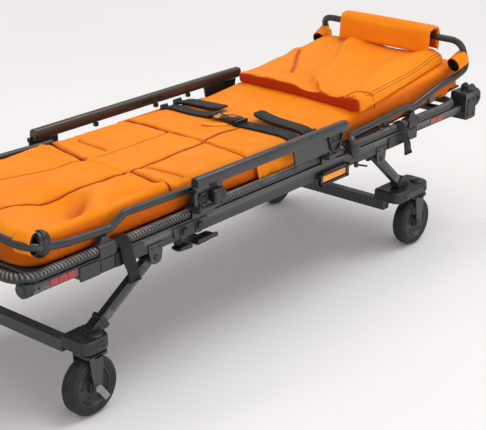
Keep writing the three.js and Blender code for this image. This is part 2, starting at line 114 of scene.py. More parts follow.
# ---- materials ----
class Finish:
    """A Principled material whose colour, roughness and bump come from procedural nodes."""

    def __init__(self, name, roughness, metallic=0.0, **sockets):
        self.material = bpy.data.materials.new(name)
        self.material.use_nodes = True
        self.tree = self.material.node_tree
        self.shader = self.tree.nodes["Principled BSDF"]
        self.shader.inputs["Roughness"].default_value = roughness
        self.shader.inputs["Metallic"].default_value = metallic
        for socket, value in sockets.items():
            self.shader.inputs[socket.replace("_", " ")].default_value = value
        self.place = self.node("ShaderNodeTexCoord").outputs["Object"]

    def node(self, kind, **values):
        made = self.tree.nodes.new(kind)
        for key, value in values.items():
            setattr(made, key, value)
        return made

    def link(self, source, target):
        self.tree.links.new(source, target)

    def scaled(self, scale):
        """The object's coordinates with a scale for each axis."""
        mapping = self.node("ShaderNodeMapping")
        mapping.inputs["Scale"].default_value = scale
        self.link(self.place, mapping.inputs["Vector"])
        return mapping.outputs["Vector"]

    def noise(self, scale, detail=4.0, stretch=None, distortion=0.0):
        texture = self.node("ShaderNodeTexNoise")
        texture.inputs["Scale"].default_value = scale
        texture.inputs["Detail"].default_value = detail
        texture.inputs["Distortion"].default_value = distortion
        self.link(self.scaled(stretch) if stretch else self.place, texture.inputs["Vector"])
        return texture.outputs["Fac"]

    def wave(self, scale, direction, distortion=0.0):
        texture = self.node("ShaderNodeTexWave", bands_direction=direction)
        texture.inputs["Scale"].default_value = scale
        texture.inputs["Distortion"].default_value = distortion
        self.link(self.place, texture.inputs["Vector"])
        return texture.outputs["Fac"]

    def ramp(self, value, stops):
        made = self.node("ShaderNodeValToRGB")
        elements = made.color_ramp.elements
        while len(elements) < len(stops):
            elements.new(0.5)
        for element, (position, colour) in zip(elements, stops):
            element.position = position
            element.color = (*colour, 1)
        self.link(value, made.inputs["Fac"])
        return made.outputs["Color"]

    def span(self, value, low, high, start=0.3, end=0.7):
        made = self.node("ShaderNodeMapRange")
        made.inputs["From Min"].default_value = start
        made.inputs["From Max"].default_value = end
        made.inputs["To Min"].default_value = low
        made.inputs["To Max"].default_value = high
        self.link(value, made.inputs["Value"])
        return made.outputs["Result"]

    def mix(self, factor, a, b):
        """a and b are colour sockets or plain colours, and factor is a socket."""
        made = self.node("ShaderNodeMix", data_type="RGBA")
        self.link(factor, made.inputs[0])
        for key, value in ((6, a), (7, b)):
            if isinstance(value, bpy.types.NodeSocket):
                self.link(value, made.inputs[key])
            else:
                made.inputs[key].default_value = (*value, 1)
        return made.outputs[2]

    def combine(self, a, b, operation="ADD"):
        made = self.node("ShaderNodeMath", operation=operation)
        for key, value in enumerate((a, b)):
            if isinstance(value, bpy.types.NodeSocket):
                self.link(value, made.inputs[key])
            else:
                made.inputs[key].default_value = value
        return made.outputs["Value"]

    def attribute(self, name):
        return self.node("ShaderNodeAttribute", attribute_name=name).outputs["Fac"]

    def edges(self, start, end):
        """High on convex edges: for paint worn thin there, and for a painted highlight along them."""
        point = self.node("ShaderNodeNewGeometry").outputs["Pointiness"]
        return self.span(point, 0.0, 1.0, start, end)

    def paint(self, colour, roughness=None, height=None, depth=0.0002):
        self.link(colour, self.shader.inputs["Base Color"])
        if roughness is not None:
            self.link(roughness, self.shader.inputs["Roughness"])
        if height is not None:
            bump = self.node("ShaderNodeBump")
            bump.inputs["Distance"].default_value = depth
            bump.inputs["Strength"].default_value = 0.8
            self.link(height, bump.inputs["Height"])
            self.link(bump.outputs["Normal"], self.shader.inputs["Normal"])
        return self.material


def tone(colour, factor):
    """A colour made darker or lighter."""
    return tuple(min(1.0, c * factor) for c in colour)


def coated_metal(name, colour, roughness, worn, grain=1400, metallic=0.25):
    """Satin powder coat: orange-peel grain, faint clouding, a few scuffs, and edges lightened by wear and
    a painted highlight.
    """
    f = Finish(name, roughness, metallic, Specular_IOR_Level=0.55)
    cloud = f.ramp(f.noise(9), [(0.32, tone(colour, 0.86)), (0.68, tone(colour, 1.12))])
    scuff = f.span(f.noise(60, 3, (1, 4, 4)), 0.0, 0.3, 0.7, 0.78)
    rubbed = f.mix(scuff, cloud, worn)
    # convex edges take the lighter colour: wear, and a painted highlight
    body = f.mix(f.edges(0.53, 0.62), rubbed, worn)
    gloss = f.span(f.noise(26), roughness - 0.07, roughness + 0.1)
    return f.paint(body, gloss, f.noise(grain, 2), 0.00005)


def ribbed_metal():
    """The bumper rail's satin paint, with a painted highlight on the ribs of its upper half, where the
    "rib" attribute is high.
    """
    f = Finish("bumper_rail_paint", 0.34, 0.35, Specular_IOR_Level=0.55)
    cloud = f.ramp(f.noise(11), [(0.3, (0.02, 0.021, 0.022)), (0.7, (0.034, 0.036, 0.037))])
    # painted highlight for the upper ribs
    painted_rib_highlight = f.ramp(f.noise(34, 5), [(0.35, (0.12, 0.118, 0.112)), (0.7, (0.3, 0.295, 0.28))])
    body = f.mix(f.attribute("rib"), cloud, painted_rib_highlight)
    return f.paint(body, f.span(f.noise(40), 0.28, 0.44), f.noise(1300, 2), 0.00012)


def moulded_plastic(name, colour, roughness):
    f = Finish(name, roughness)
    body = f.ramp(f.noise(30, 5), [(0.3, tone(colour, 0.75)), (0.7, tone(colour, 1.25))])
    # convex edges much lighter: a painted highlight, and wear
    edge = f.mix(f.edges(0.53, 0.64), body, tone(colour, 2.6))
    return f.paint(edge, f.span(f.noise(55), roughness - 0.06, roughness + 0.1), f.noise(2200, 2), 0.00018)


def tyre_rubber():
    f = Finish("solid_tyre_rubber", 0.62)
    body = f.ramp(f.noise(45, 6), [(0.3, (0.007, 0.007, 0.0075)), (0.72, (0.019, 0.0185, 0.018))])
    dusty = f.mix(f.span(f.noise(14, 4), 0.0, 0.45, 0.5, 0.72), body, (0.036, 0.034, 0.032))
    return f.paint(dusty, f.span(f.noise(60), 0.5, 0.75), f.noise(900, 4), 0.00025)


def brushed_steel():
    f = Finish("brushed_lever_steel", 0.36, 0.85)
    streak = f.noise(240, 3, (0.15, 1, 4))
    body = f.ramp(streak, [(0.3, (0.2, 0.205, 0.21)), (0.7, (0.46, 0.46, 0.45))])
    return f.paint(body, f.span(streak, 0.28, 0.48), streak, 0.0001)


def cover_cloth(name, colour, shade, fold=(0.42, 0.02, 0.004)):
    """Coated cover cloth: a fine weave under a soft coat, tonal drift, rubbed streaks, and painted shade
    where the crease attribute is high: in seams, folds and faces turned from the light.
    """
    f = Finish(name, 0.5, 0.0, Specular_IOR_Level=0.13)
    f.shader.inputs["Specular Tint"].default_value = (1.0, 0.72, 0.4, 1)
    drift = f.ramp(f.noise(3.2, 5), [(0.3, shade), (0.7, colour)])
    streaks = f.span(f.noise(24, 5, (0.35, 1, 1), 0.6), 0.0, 0.35, 0.5, 0.75)
    body = f.mix(streaks, drift, tone(colour, 1.1))
    # painted shade: the crease attribute mixes in the dark fold colour
    creased = f.mix(f.attribute("crease_shade"), body, fold)
    weave = f.combine(f.wave(330, "X", 0.4), f.wave(330, "Y", 0.4))
    rumple = f.combine(f.noise(60, 5), 2.2, "MULTIPLY")
    height = f.combine(f.combine(weave, 0.16, "MULTIPLY"), rumple)
    return f.paint(creased, f.span(f.noise(18), 0.42, 0.56), height, 0.0006)


def webbing_weave(name, colour, gloss):
    """Heavy webbing: diagonal herringbone ribs with paler rubbed threads."""
    f = Finish(name, gloss, 0.0, Specular_IOR_Level=0.24)
    across = f.wave(190, "DIAGONAL", 1.2)
    along = f.wave(120, "X", 0.6)
    thread = f.combine(across, along)
    body = f.ramp(f.noise(55, 5), [(0.3, tone(colour, 0.7)), (0.72, tone(colour, 1.35))])
    worn = f.mix(f.span(thread, 0.0, 0.2, 1.1, 1.9), body, tone(colour, 2.0))
    return f.paint(worn, f.span(f.noise(40), gloss - 0.08, gloss + 0.1), thread, 0.0004)


def reflector():
    f = Finish("red_reflector", 0.22, 0.0, Coat_Weight=0.4)
    cells = f.node("ShaderNodeTexVoronoi")
    cells.inputs["Scale"].default_value = 420
    f.link(f.place, cells.inputs["Vector"])
    body = f.ramp(cells.outputs["Distance"], [(0.1, (0.5, 0.03, 0.03)), (0.75, (0.26, 0.014, 0.016))])
    return f.paint(body, None, cells.outputs["Distance"], 0.0003)


# Each coat's last colour is for its scuffs, and for its convex edges as wear and a painted highlight.
FRAME_PAINT = coated_metal("frame_powder_coat", (0.03, 0.032, 0.033), 0.31, (0.11, 0.112, 0.112))
GUARD_PAINT = coated_metal("guard_powder_coat", (0.05, 0.052, 0.052), 0.25, (0.085, 0.085, 0.083),
                           metallic=0.4)
# The far handrail's coat is the near one's, tinted brown as a painted reflection.
FAR_GUARD_REFLECTION_PAINT = coated_metal("far_guard_coat_painted_reflection", (0.06, 0.042, 0.034), 0.28, (0.1, 0.08, 0.07),
                         metallic=0.4)
CAST_PAINT = coated_metal("casting_textured_paint", (0.019, 0.0205, 0.0215), 0.42, (0.1, 0.1, 0.1), 520)
BLACK_PLASTIC = moulded_plastic("moulded_black_nylon", (0.009, 0.0095, 0.01), 0.36)
HUB_PLASTIC = moulded_plastic("hub_grey_nylon", (0.026, 0.0275, 0.029), 0.38)
RAIL_PAINT = ribbed_metal()
RUBBER = tyre_rubber()
STEEL = brushed_steel()
ORANGE = cover_cloth("orange_cover_cloth", (0.94, 0.285, 0.01), (0.9, 0.235, 0.006))
# Dark cords: stitching, and painted shadow in the seam gaps and creases of the covers.
SEAM_CORD_AND_SHADE = cover_cloth("dark_seam_cord_and_gap_shade", (0.13, 0.012, 0.006), (0.07, 0.007, 0.004), (0.03, 0.004, 0.002))
PIPING = cover_cloth("pale_orange_piping", (0.96, 0.36, 0.06), (0.93, 0.3, 0.035))
WEBBING = webbing_weave("black_belt_webbing", (0.0065, 0.0072, 0.008), 0.4)
REFLECTOR = reflector()
RED_BUTTON = moulded_plastic("red_buckle_button", (0.55, 0.05, 0.012), 0.35)
ORANGE_GRIP = moulded_plastic("orange_grip_plastic", (0.86, 0.24, 0.02), 0.4)


# ---- shapes: each is (points, faces) in millimetres ----
def merged(*shapes):
    points, faces = [], []
    for own_points, own_faces in shapes:
        base = len(points)
        points += [tuple(p) for p in own_points]
        faces += [[base + i for i in face] for face in own_faces]
    return points, faces


def rounded(corners, radius, steps=5):
    """A closed outline through (a, b) or (a, b, own radius) corners, each turned as an arc."""
    outline = []
    count = len(corners)
    for i, corner in enumerate(corners):
        here = Vector(corner[:2])
        before = Vector(corners[i - 1][:2]) - here
        after = Vector(corners[(i + 1) % count][:2]) - here
        own = corner[2] if len(corner) > 2 else radius
        reach = min(own, before.length / 2.05, after.length / 2.05)
        if reach < 0.05:
            outline.append(here)
            continue
        start = here + before.normalized() * reach
        end = here + after.normalized() * reach
        for k in range(steps + 1):
            t = k / steps
            outline.append(start.lerp(here, t).lerp(here.lerp(end, t), t))
    return [tuple(p) for p in outline]


def prism(outline, axis, low, high):
    """An outline extruded along x, y or z. It lies in the other two axes, in their alphabetical order."""
    low, high = min(low, high), max(low, high)
    place = {
        "x": lambda p, h: (h, p[0], p[1]),
        "y": lambda p, h: (p[0], h, p[1]),
        "z": lambda p, h: (p[0], p[1], h),
    }[axis]
    count = len(outline)
    points = [place(p, h) for h in (low, high) for p in outline]
    faces = [[i, (i + 1) % count, count + (i + 1) % count, count + i] for i in range(count)]
    faces += [list(range(count))[::-1], list(range(count, 2 * count))]
    return points, faces


def block(x, y, z, radius=0.0):
    """A box between (low, high) pairs, with its corners turned in plan when it has a radius."""
    outline = [(x[0], z[0]), (x[1], z[0]), (x[1], z[1]), (x[0], z[1])]
    return prism(rounded(outline, radius, 4) if radius else outline, "y", *y)


def turned(profile, centre, axis, sides=64, lobes=None):
    """A (radius, height) profile turned about an axis; lobes(angle) scales the outer radii."""
    points, faces = [], []
    for k in range(sides):
        a = 2 * math.pi * k / sides
        swell = lobes(a) if lobes else 1.0
        for radius, height in profile:
            r = radius * swell
            u, v = r * math.cos(a), r * math.sin(a)
            local = {"x": (height, u, v), "y": (u, height, v), "z": (u, v, height)}[axis]
            points.append(tuple(c + p for c, p in zip(centre, local)))
    rows = len(profile)
    for k in range(sides):
        near, far = k * rows, ((k + 1) % sides) * rows
        for i in range(rows - 1):
            faces.append([near + i, near + i + 1, far + i + 1, far + i])
    if profile[0][0] > 0.01 and profile[-1] != profile[0]:
        faces.append([k * rows for k in range(sides)])
        faces.append([k * rows + rows - 1 for k in range(sides)])
    return points, faces


def disc(centre, axis, radius, low, high, sides=40):
    return turned([(radius, low), (radius, high)], centre, axis, sides)


def bent(corners, step=6.0):
    """A route of (x, y, z, bend radius) corners, each bend turned as an arc."""
    route = []
    for i, corner in enumerate(corners):
        here = Vector(corner[:3])
        radius = corner[3] if len(corner) > 3 else 0
        if not radius or i in (0, len(corners) - 1):
            route.append(here)
            continue
        before = Vector(corners[i - 1][:3]) - here
        after = Vector(corners[i + 1][:3]) - here
        half = before.angle(after) / 2
        reach = min(radius / math.tan(half), before.length / 2.05, after.length / 2.05)
        start = here + before.normalized() * reach
        end = here + after.normalized() * reach
        count = max(4, int(2 * reach / step))
        for k in range(count + 1):
            t = k / count
            route.append(start.lerp(here, t).lerp(here.lerp(end, t), t))
    return route


def spaced(route, step):
    """The same route with points an even step apart."""
    lengths = np.cumsum([0] + [(b - a).length for a, b in zip(route, route[1:])])
    count = max(2, round(lengths[-1] / step))
    wanted = np.linspace(0, lengths[-1], count + 1)
    columns = [np.interp(wanted, lengths, [p[i] for p in route]) for i in range(3)]
    return [Vector(p) for p in zip(*columns)]


def swept(route, section, across=None, swell=None):
    """A (u, v) section carried along a route. across fixes u's direction; swell(i) scales the section."""
    points, faces = [], []
    count = len(section)
    side = Vector(across) if across else None
    for i, here in enumerate(route):
        ahead = route[min(i + 1, len(route) - 1)] - route[max(i - 1, 0)]
        tangent = ahead.normalized()
        if across:
            u = (Vector(across) - tangent * Vector(across).dot(tangent)).normalized()
        else:
            if side is None:
                side = tangent.orthogonal()
            side = (side - tangent * side.dot(tangent)).normalized()
            u = side
        v = tangent.cross(u)
        size = swell(i) if swell else 1.0
        points += [tuple(here + u * (a * size) + v * (b * size)) for a, b in section]
    for i in range(len(route) - 1):
        for k in range(count):
            n = (k + 1) % count
            faces.append([i * count + k, i * count + n, (i + 1) * count + n, (i + 1) * count + k])
    last = (len(route) - 1) * count
    faces += [list(range(count))[::-1], list(range(last, last + count))]
    return points, faces


def circle(radius, sides=20):
    return [
        (radius * math.cos(2 * math.pi * k / sides), radius * math.sin(2 * math.pi * k / sides))
        for k in range(sides)
    ]


def flat_section(width, thickness, steps=3):
    """A strap's section: flat faces with rounded selvedges."""
    w, t = width / 2, thickness / 2
    return rounded([(-w, -t), (w, -t), (w, t), (-w, t)], t, steps)


def tube(route, radius, sides=20):
    return swept(route, circle(radius, sides))


def bolt(centre, axis, radius, height):
    """A domed socket head on a washer, standing out along the axis by its signed height."""
    h = height
    profile = [(radius * 1.35, 0), (radius * 1.35, 0.25 * h), (radius, 0.3 * h), (radius, 0.8 * h),
               (radius * 0.8, h), (radius * 0.45, h), (radius * 0.42, 0.65 * h), (0.005, 0.65 * h)]
    return turned(profile, centre, axis, 24)


# ---- making pieces ----
def make_object(name, shape, material):
    points, faces = shape
    mesh = bpy.data.meshes.new(name)
    mesh.from_pydata([tuple(c * MM for c in p) for p in points], [], faces)
    edit = bmesh.new()
    edit.from_mesh(mesh)
    bmesh.ops.remove_doubles(edit, verts=edit.verts, dist=1e-6)
    bmesh.ops.recalc_face_normals(edit, faces=edit.faces)
    edit.to_mesh(mesh)
    edit.free()
    mesh.shade_smooth()
    mesh.materials.append(material)
    made = bpy.data.objects.new(name, mesh)
    bpy.context.scene.collection.objects.link(made)
    return made


def soften(made, width, segments=2, angle=34):
    """Rounded edges wherever two faces meet at more than the angle."""
    bevel = made.modifiers.new("rounded_edges", "BEVEL")
    bevel.width = width * MM
    bevel.segments = segments
    bevel.limit_method = "ANGLE"
    bevel.angle_limit = math.radians(angle)
    bevel.use_clamp_overlap = True
    bevel.harden_normals = True
    return made


MATERIAL_SLOTS = {
    "frame": (FRAME_PAINT, GUARD_PAINT, FAR_GUARD_REFLECTION_PAINT, RAIL_PAINT),
    "casting": (CAST_PAINT,),
    "black_plastic": (BLACK_PLASTIC, REFLECTOR, RED_BUTTON),
    "hub": (HUB_PLASTIC,),
    "tyre": (RUBBER,),
    "steel_lever": (STEEL,),
    "orange_cover": (ORANGE, SEAM_CORD_AND_SHADE, PIPING, ORANGE_GRIP),
    "webbing": (WEBBING,),
}
USUAL_SLOT = {material.name: slot for slot, materials in MATERIAL_SLOTS.items() for material in materials}


def piece(name, shape, material, body, edge=0.0, replaces=(), segments=2, slot=None):
    """One piece on a body, with its edges rounded. Its slot argument is not used."""
    made = make_object(name, shape, material)
    if edge:
        soften(made, edge, segments)
    slot = slot or USUAL_SLOT[material.name]
    if replaces:
        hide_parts(*replaces)
    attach(made, body)
    return made


def keep_node(node, material):
    """A CAD node whose shape is right: only its material and shading change."""
    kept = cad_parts[node]
    kept.data.materials.clear()
    kept.data.materials.append(material)


# ---- casters ----
def tyre_shape(centre):
    r, w, rim = WHEEL["radius"], WHEEL["width"] / 2, WHEEL["rim"]
    side = [(rim, w - 3), (rim + 2, w - 1), (rim + 6, w - 0.4), (rim + 7, w - 1.8), (rim + 8, w - 0.4),
            (rim + 12, w - 0.6), (rim + 13, w - 2.2), (rim + 14, w - 1), (rim + 17.5, w - 2.6)]
    tread = [(r - 5.2, w - 4.6), (r - 5.8, w - 6.2), (r - 3.6, w - 6.8), (r - 1.4, w - 9.6),
             (r - 2.6, w - 11), (r - 0.4, w - 12), (r, w - 16), (r - 1.8, w - 17), (r - 1.8, w - 18.4),
             (r, w - 19.4)]
    half = side + tread
    outline = half + [(a, -b) for a, b in reversed(half)]
    return turned(outline + [outline[0]], centre, "y", 96)


def hub_bolt_places(centre):
    """The five bolt places on each face of the hub, as (place, outward sign)."""
    places = []
    for k in range(5):
        a = 2 * math.pi * (k + 0.5) / 5
        for face in (1, -1):
            y = centre[1] + face * (WHEEL["width"] / 2 - 14.4)
            places.append(((centre[0] + 34 * math.cos(a), y, centre[2] + 34 * math.sin(a)), face))
    return places


def hub_shape(centre):
    w, rim = WHEEL["width"] / 2, WHEEL["rim"] - 0.4
    half = [(6.4, w + 1), (15, w + 1), (17, w - 1), (18, w - 8), (20, w - 13), (33, w - 14.5),
            (43, w - 14), (47, w - 11), (50, w - 5), (51.5, w - 3.2), (rim, w - 3)]
    outline = half + [(a, -b) for a, b in reversed(half)]
    body = turned(outline + [outline[0]], centre, "y", 72)
    rims = [turned([(4.2, 0), (4.2, face * 1.4), (6.4, face * 1.4), (6.8, 0)], at, "y", 24)
            for at, face in hub_bolt_places(centre)]
    return merged(body, *rims)


# Black discs set in the hub's bolt rings: painted shade standing for the dark inside of the holes.
def hub_hole_shade(centre):
    return merged(*(disc(at, "y", 4.3, -0.5 * face, 0.5 * face, 20)
                    for at, face in hub_bolt_places(centre)))


def fork_shape(x, s):
    r, trail = WHEEL["radius"], WHEEL["trail"]
    inner = WHEEL["width"] / 2 + 3
    y = s * WHEEL["track"]
    plan = rounded([(x - 46, y - 32), (x + 24, y - 32), (x + 24, y + 32), (x - 46, y + 32)], 18)
    crown = prism(plan, "z", CROWN["low"], CROWN["high"])
    race = turned([(25, 168), (25, 169.4), (22, 169.8), (22, 170.4), (25, 170.8), (25, CROWN["top"])],
                  (x, y, 0), "z", 48)
    leg_outline = rounded(
        [(x - trail - 13, r - 13, 12), (x - trail + 13, r - 13, 12), (x - trail + 13, r + 16, 18),
         (x + 2, r + 58, 14), (x - 2, 168, 3), (x - 44, 168, 3), (x - 42, r + 52, 14),
         (x - trail - 13, r + 14, 16)], 10)
    legs = [prism(leg_outline, "y", y + f * inner, y + f * (inner + 5)) for f in (-1, 1)]
    axle_x = x - trail
    axle = disc((axle_x, y, r), "y", 6, -inner - 3, inner + 3, 24)
    heads = [bolt((axle_x, y + f * (inner + 5), r), "y", 8, f * 3) for f in (-1, 1)]
    gussets = [block((x - 38, x - 6), (y + f * (inner - 3), y + f * inner), (150, 166), 3)
               for f in (-1, 1)]
    return merged(crown, race, *legs, axle, *heads, *gussets)


def brake_shape(x, s):
    """Flat lever blade on the caster's outer face with a stepped tip."""
    r, trail = WHEEL["radius"], WHEEL["trail"]
    face = s * (WHEEL["track"] + WHEEL["width"] / 2 + 8.4)
    cx = x - trail
    blade = [(-9, 9, 6), (7, 9, 6), (24, -14, 8), (38, -34, 3), (22, -42, 3), (2, -15, 8)]
    outline = rounded([(cx + a, r + b, own) for a, b, own in blade], 6)
    body = prism(outline, "y", face, face + s * 3.2)
    rib_line = [Vector((cx + a, face + s * 3.4, r + b)) for a, b in ((4, -6), (14, -18), (26, -34))]
    rib = tube(spaced(rib_line, 4), 2.0, 10)
    boss = turned([(4.4, 0), (10, 0), (10, s * 4.2), (4.4, s * 4.2), (4.4, 0)], (cx, face, r), "y", 32)
    return merged(body, rib, boss)


for end, swivel in CASTER_X.items():
    for side, s in SIDES.items():
        axle = (swivel - WHEEL["trail"], s * WHEEL["track"], WHEEL["radius"])
        wheel, caster = f"{end}_wheel_{side}", f"{end}_caster_{side}"
        piece(f"{end}_tyre_grooved_{side}", tyre_shape(axle), RUBBER, wheel, 0.35,
              [f"{end}_tyre_{side}"], 1)
        piece(f"{end}_hub_dished_{side}", hub_shape(axle), HUB_PLASTIC, wheel, 0.8, [f"{end}_hub_{side}"])
        # black discs in the bolt rings: painted shade of the holes
        piece(f"{end}_hub_hole_shade_{side}", hub_hole_shade(axle), BLACK_PLASTIC, wheel, slot="hub")
        piece(f"{end}_fork_formed_{side}", fork_shape(swivel, s), FRAME_PAINT, caster, 1.1,
              [f"{end}_fork_{side}"])
        if end == "foot":
            piece(f"brake_blade_{side}", brake_shape(swivel, s), STEEL, f"brake_{side}", 0.7,
                  [f"brake_lever_{side}"])


# ---- leg sets ----
def strut_points(leg, along_from, along_to, grow):
    """The four corners of a stretch of the strut, measured along it from its pivot."""
    top = Vector((leg["pivot"], LEG_PIVOT_Z))
    run = (Vector(leg["end"]) - top).normalized()
    side = Vector((-run.y, run.x)) * (STRUT["half"] + grow)
    a, b = top + run * along_from, top + run * along_to
    return [a + side, a - side, b - side, b + side]


def strut_outline(leg, along_from, along_to, grow, radius, steps):
    """The same stretch as an outline with rounded corners."""
    return rounded([tuple(c) for c in strut_points(leg, along_from, along_to, grow)], radius, steps)


def strut_length(leg):
    return (Vector(leg["end"]) - Vector((leg["pivot"], LEG_PIVOT_Z))).length


def strut_shape(leg, s):
    length = strut_length(leg)
    corners = strut_points(leg, -STRUT["half"], length + 4, 0)
    corners = [(*corners[0], 15), (*corners[1], 15), (*corners[2], 2), (*corners[3], 2)]
    return prism(rounded(corners, 2, 8), "y", s * STRUT["y0"], s * STRUT["y1"])


def strut_cover(leg, s):
    """A raised stiffening rib along the outer face of the strut."""
    length = strut_length(leg)
    outline = strut_outline(leg, 34, length - 78, -8, 6, 5)
    return prism(outline, "y", s * (STRUT["y1"] - 0.5), s * (STRUT["y1"] + 1.2))


def collar_shape(leg, s):
    """The clamp sleeve at the strut's foot, with a ring at its top and two bolts."""
    length = strut_length(leg)
    y0, y1 = s * (STRUT["y0"] - 3.5), s * (STRUT["y1"] + 3.5)
    sleeve = prism(strut_outline(leg, length - 44, length + 2, 4, 4, 4), "y", y0, y1)
    ring = prism(strut_outline(leg, length - 52, length - 38, 7, 4, 4), "y", y0 - s * 1.5, y1 + s * 1.5)
    middle = Vector((leg["pivot"], LEG_PIVOT_Z)).lerp(Vector(leg["end"]), (length - 20) / length)
    pins = [bolt((middle.x, y1, middle.y), "y", 5, s * 4), bolt((middle.x, y0, middle.y), "y", 5, -s * 4)]
    return merged(sleeve, ring, *pins)


def housing_shape(end, s):
    """Caster housing: a rounded cast box over the swivel."""
    leg, x = LEG[end], CASTER_X[end]
    low, high = leg["beam_x"] - 16, x + HOUSING["half"]
    y0, y1 = s * HOUSING["y0"], s * HOUSING["y1"]
    plan = rounded([(low, y0, 10), (high, y0, 20), (high, y1, 40), (low, y1, 30)], 24, 8)
    return prism(plan, "z", HOUSING["z0"], HOUSING["z1"])


def axle_beam_shape(end):
    leg = LEG[end]
    z0, z1 = leg["beam_z"]
    return block((leg["beam_x"] - 16, leg["beam_x"] + 16), (-leg["beam_y"], leg["beam_y"]), (z0, z1))


def housing_detail(end, s):
    """Swivel cap, and a side pad with its bolts, on the caster housing."""
    leg, x = LEG[end], CASTER_X[end]
    y = s * WHEEL["track"]
    top = HOUSING["z1"]
    profile = [(24, -3), (24, 2), (20, 5), (7, 6), (6, 4), (0.005, 4)]
    cap = turned([(radius, top + height) for radius, height in profile], (x, y, 0), "z", 48)
    out = s * HOUSING["y1"]
    pad_low, pad_high = leg["beam_x"] + 20, x + 12
    pad = block((pad_low, pad_high), (out - s * 2, out + s * 1.6), (HOUSING["z0"] + 9, top - 10), 6)
    bolts = [bolt((px, out + s * 1.4, top - 19), "y", 4, s * 3) for px in (pad_low + 10, pad_high - 10)]
    return merged(cap, pad, *bolts)


for end, leg in LEG.items():
    body = f"{end}_legs"
    piece(f"{end}_cross_beam", axle_beam_shape(end), FRAME_PAINT, body, 2.4, [f"{end}_axle_beam"], 3)
    for side, s in SIDES.items():
        piece(f"{end}_caster_housing_{side}", housing_shape(end, s), CAST_PAINT, body, 6.5, (), 4)
        piece(f"{end}_housing_detail_{side}", housing_detail(end, s), CAST_PAINT, body, 0.8)
        piece(f"{end}_strut_tube_{side}", strut_shape(leg, s), FRAME_PAINT, body, 2.6,
              [f"{end}_strut_{side}"], 3)
        piece(f"{end}_strut_rib_{side}", strut_cover(leg, s), FRAME_PAINT, body, 0.6)
        piece(f"{end}_strut_collar_{side}", collar_shape(leg, s), BLACK_PLASTIC, body, 1.4)


# ---- side beams ----
def beam_shape(s):
    x0, x1, z0, z1, end = BEAM["x0"], BEAM["x1"], BEAM["z0"], BEAM["z1"], BEAM["end"]
    d0, d1 = BEAM_DEEP
    outline = rounded([(x0, end), (d0, end), (d0 + 14, z0), (d1 - 14, z0), (d1, end), (x1, end),
                       (x1, z1), (x0, z1)], 2.5, 3)
    return prism(outline, "y", s * BEAM["y0"], s * BEAM["y1"])


def beam_ribs(s):
    """Two raised lines that run along the beam's outer face, broken at the leg pivots."""
    face = s * (BEAM["y1"] + 0.9)
    runs = [(-520, 396), (478, 636)]
    lines = [block(run, (face - s * 2, face), (z, z + 2.4)) for run in runs for z in (391, 399)]
    return merged(*lines)


def beam_covers(s):
    """Moulded cover blocks between the foot end and the leg pivot, and one by the head leg."""
    face = s * BEAM["y1"]
    stretches = [(-832, -766, 366, 404), (-762, -716, 369, 401), (-712, -664, 366, 404),
                 (-655, -612, 368, 402), (474, 520, 367, 402), (524, 560, 370, 399), (566, 632, 367, 403)]
    return merged(*(
        block((a, b), (face - s * 1, face + s * (3.4 if i % 2 else 5)), (low, high), 3)
        for i, (a, b, low, high) in enumerate(stretches)
    ))


def foot_end_cap(s):
    """The faceted cap over the beam's foot end, turned on an eight-sided section."""
    x, y = BEAM["x0"], s * (BEAM["y0"] + BEAM["y1"]) / 2
    z = (BEAM["end"] + BEAM["z1"]) / 2
    profile = [(16, -24), (22.5, -18), (22.5, 4), (20.5, 6), (20.5, 14), (22.5, 16), (22.5, 22)]
    return turned(profile, (x, y, z), "x", 8)


def reflector_strip(s, x, width, parts):
    """A row of prism reflectors in a thin carrier."""
    face = s * BEAM["y1"]
    each = width / parts
    z = (BEAM["end"] + BEAM["z1"]) / 2
    return merged(*(
        block((x + i * each + 0.7, x + (i + 1) * each - 0.7), (face - s * 0.5, face + s * 1.6),
              (z - 9, z + 9), 1.5)
        for i in range(parts)
    ))


for side, s in SIDES.items():
    piece(f"beam_extrusion_{side}", beam_shape(s), FRAME_PAINT, "chassis", 1.8, [f"side_beam_{side}"], 3)
    piece(f"beam_lines_{side}", beam_ribs(s), FRAME_PAINT, "chassis", 0.6)
    piece(f"beam_covers_{side}", beam_covers(s), CAST_PAINT, "chassis", 1.2)
    piece(f"beam_end_plug_{side}", foot_end_cap(s), BLACK_PLASTIC, "chassis", 1.5)
    piece(f"foot_reflector_{side}", reflector_strip(s, -925, 84, 3), REFLECTOR, "chassis", 0.5)
    piece(f"head_reflector_{side}", reflector_strip(s, 717, 76, 2), REFLECTOR, "chassis", 0.5)


def leg_pivot_shape(x, s):
    plate = rounded([(x - 27, 384, 4), (x - 19, 328, 16), (x + 19, 328, 16), (x + 27, 384, 4)], 14, 6)
    plates = [prism(plate, "y", s * a, s * b) for a, b in ((290.4, 293), (245, 249.6))]
    pin = disc((x, 0, LEG_PIVOT_Z), "y", 6, s * 247, s * 293)
    heads = [bolt((x, s * y, LEG_PIVOT_Z), "y", radius, s * height)
             for y, radius, height in ((293, 7, 4), (245, 9, -5))]
    small = [bolt((x + dx, s * 293, 374), "y", 3.6, s * 2.5) for dx in (-15, 15)]
    return merged(*plates, pin, *heads, *small)


for end, leg in LEG.items():
    for side, s in SIDES.items():
        piece(f"{end}_pivot_plates_{side}", leg_pivot_shape(leg["pivot"], s), FRAME_PAINT, "chassis",
              1.0, [f"{end}_leg_pivot_{side}"])


# ---- perimeter rail ----
RIB_PITCH = 10.5
RIB_SLANT = 0.5  # ribs the far side of the tube trails by, over half a turn
RAIL_SIDES = 24


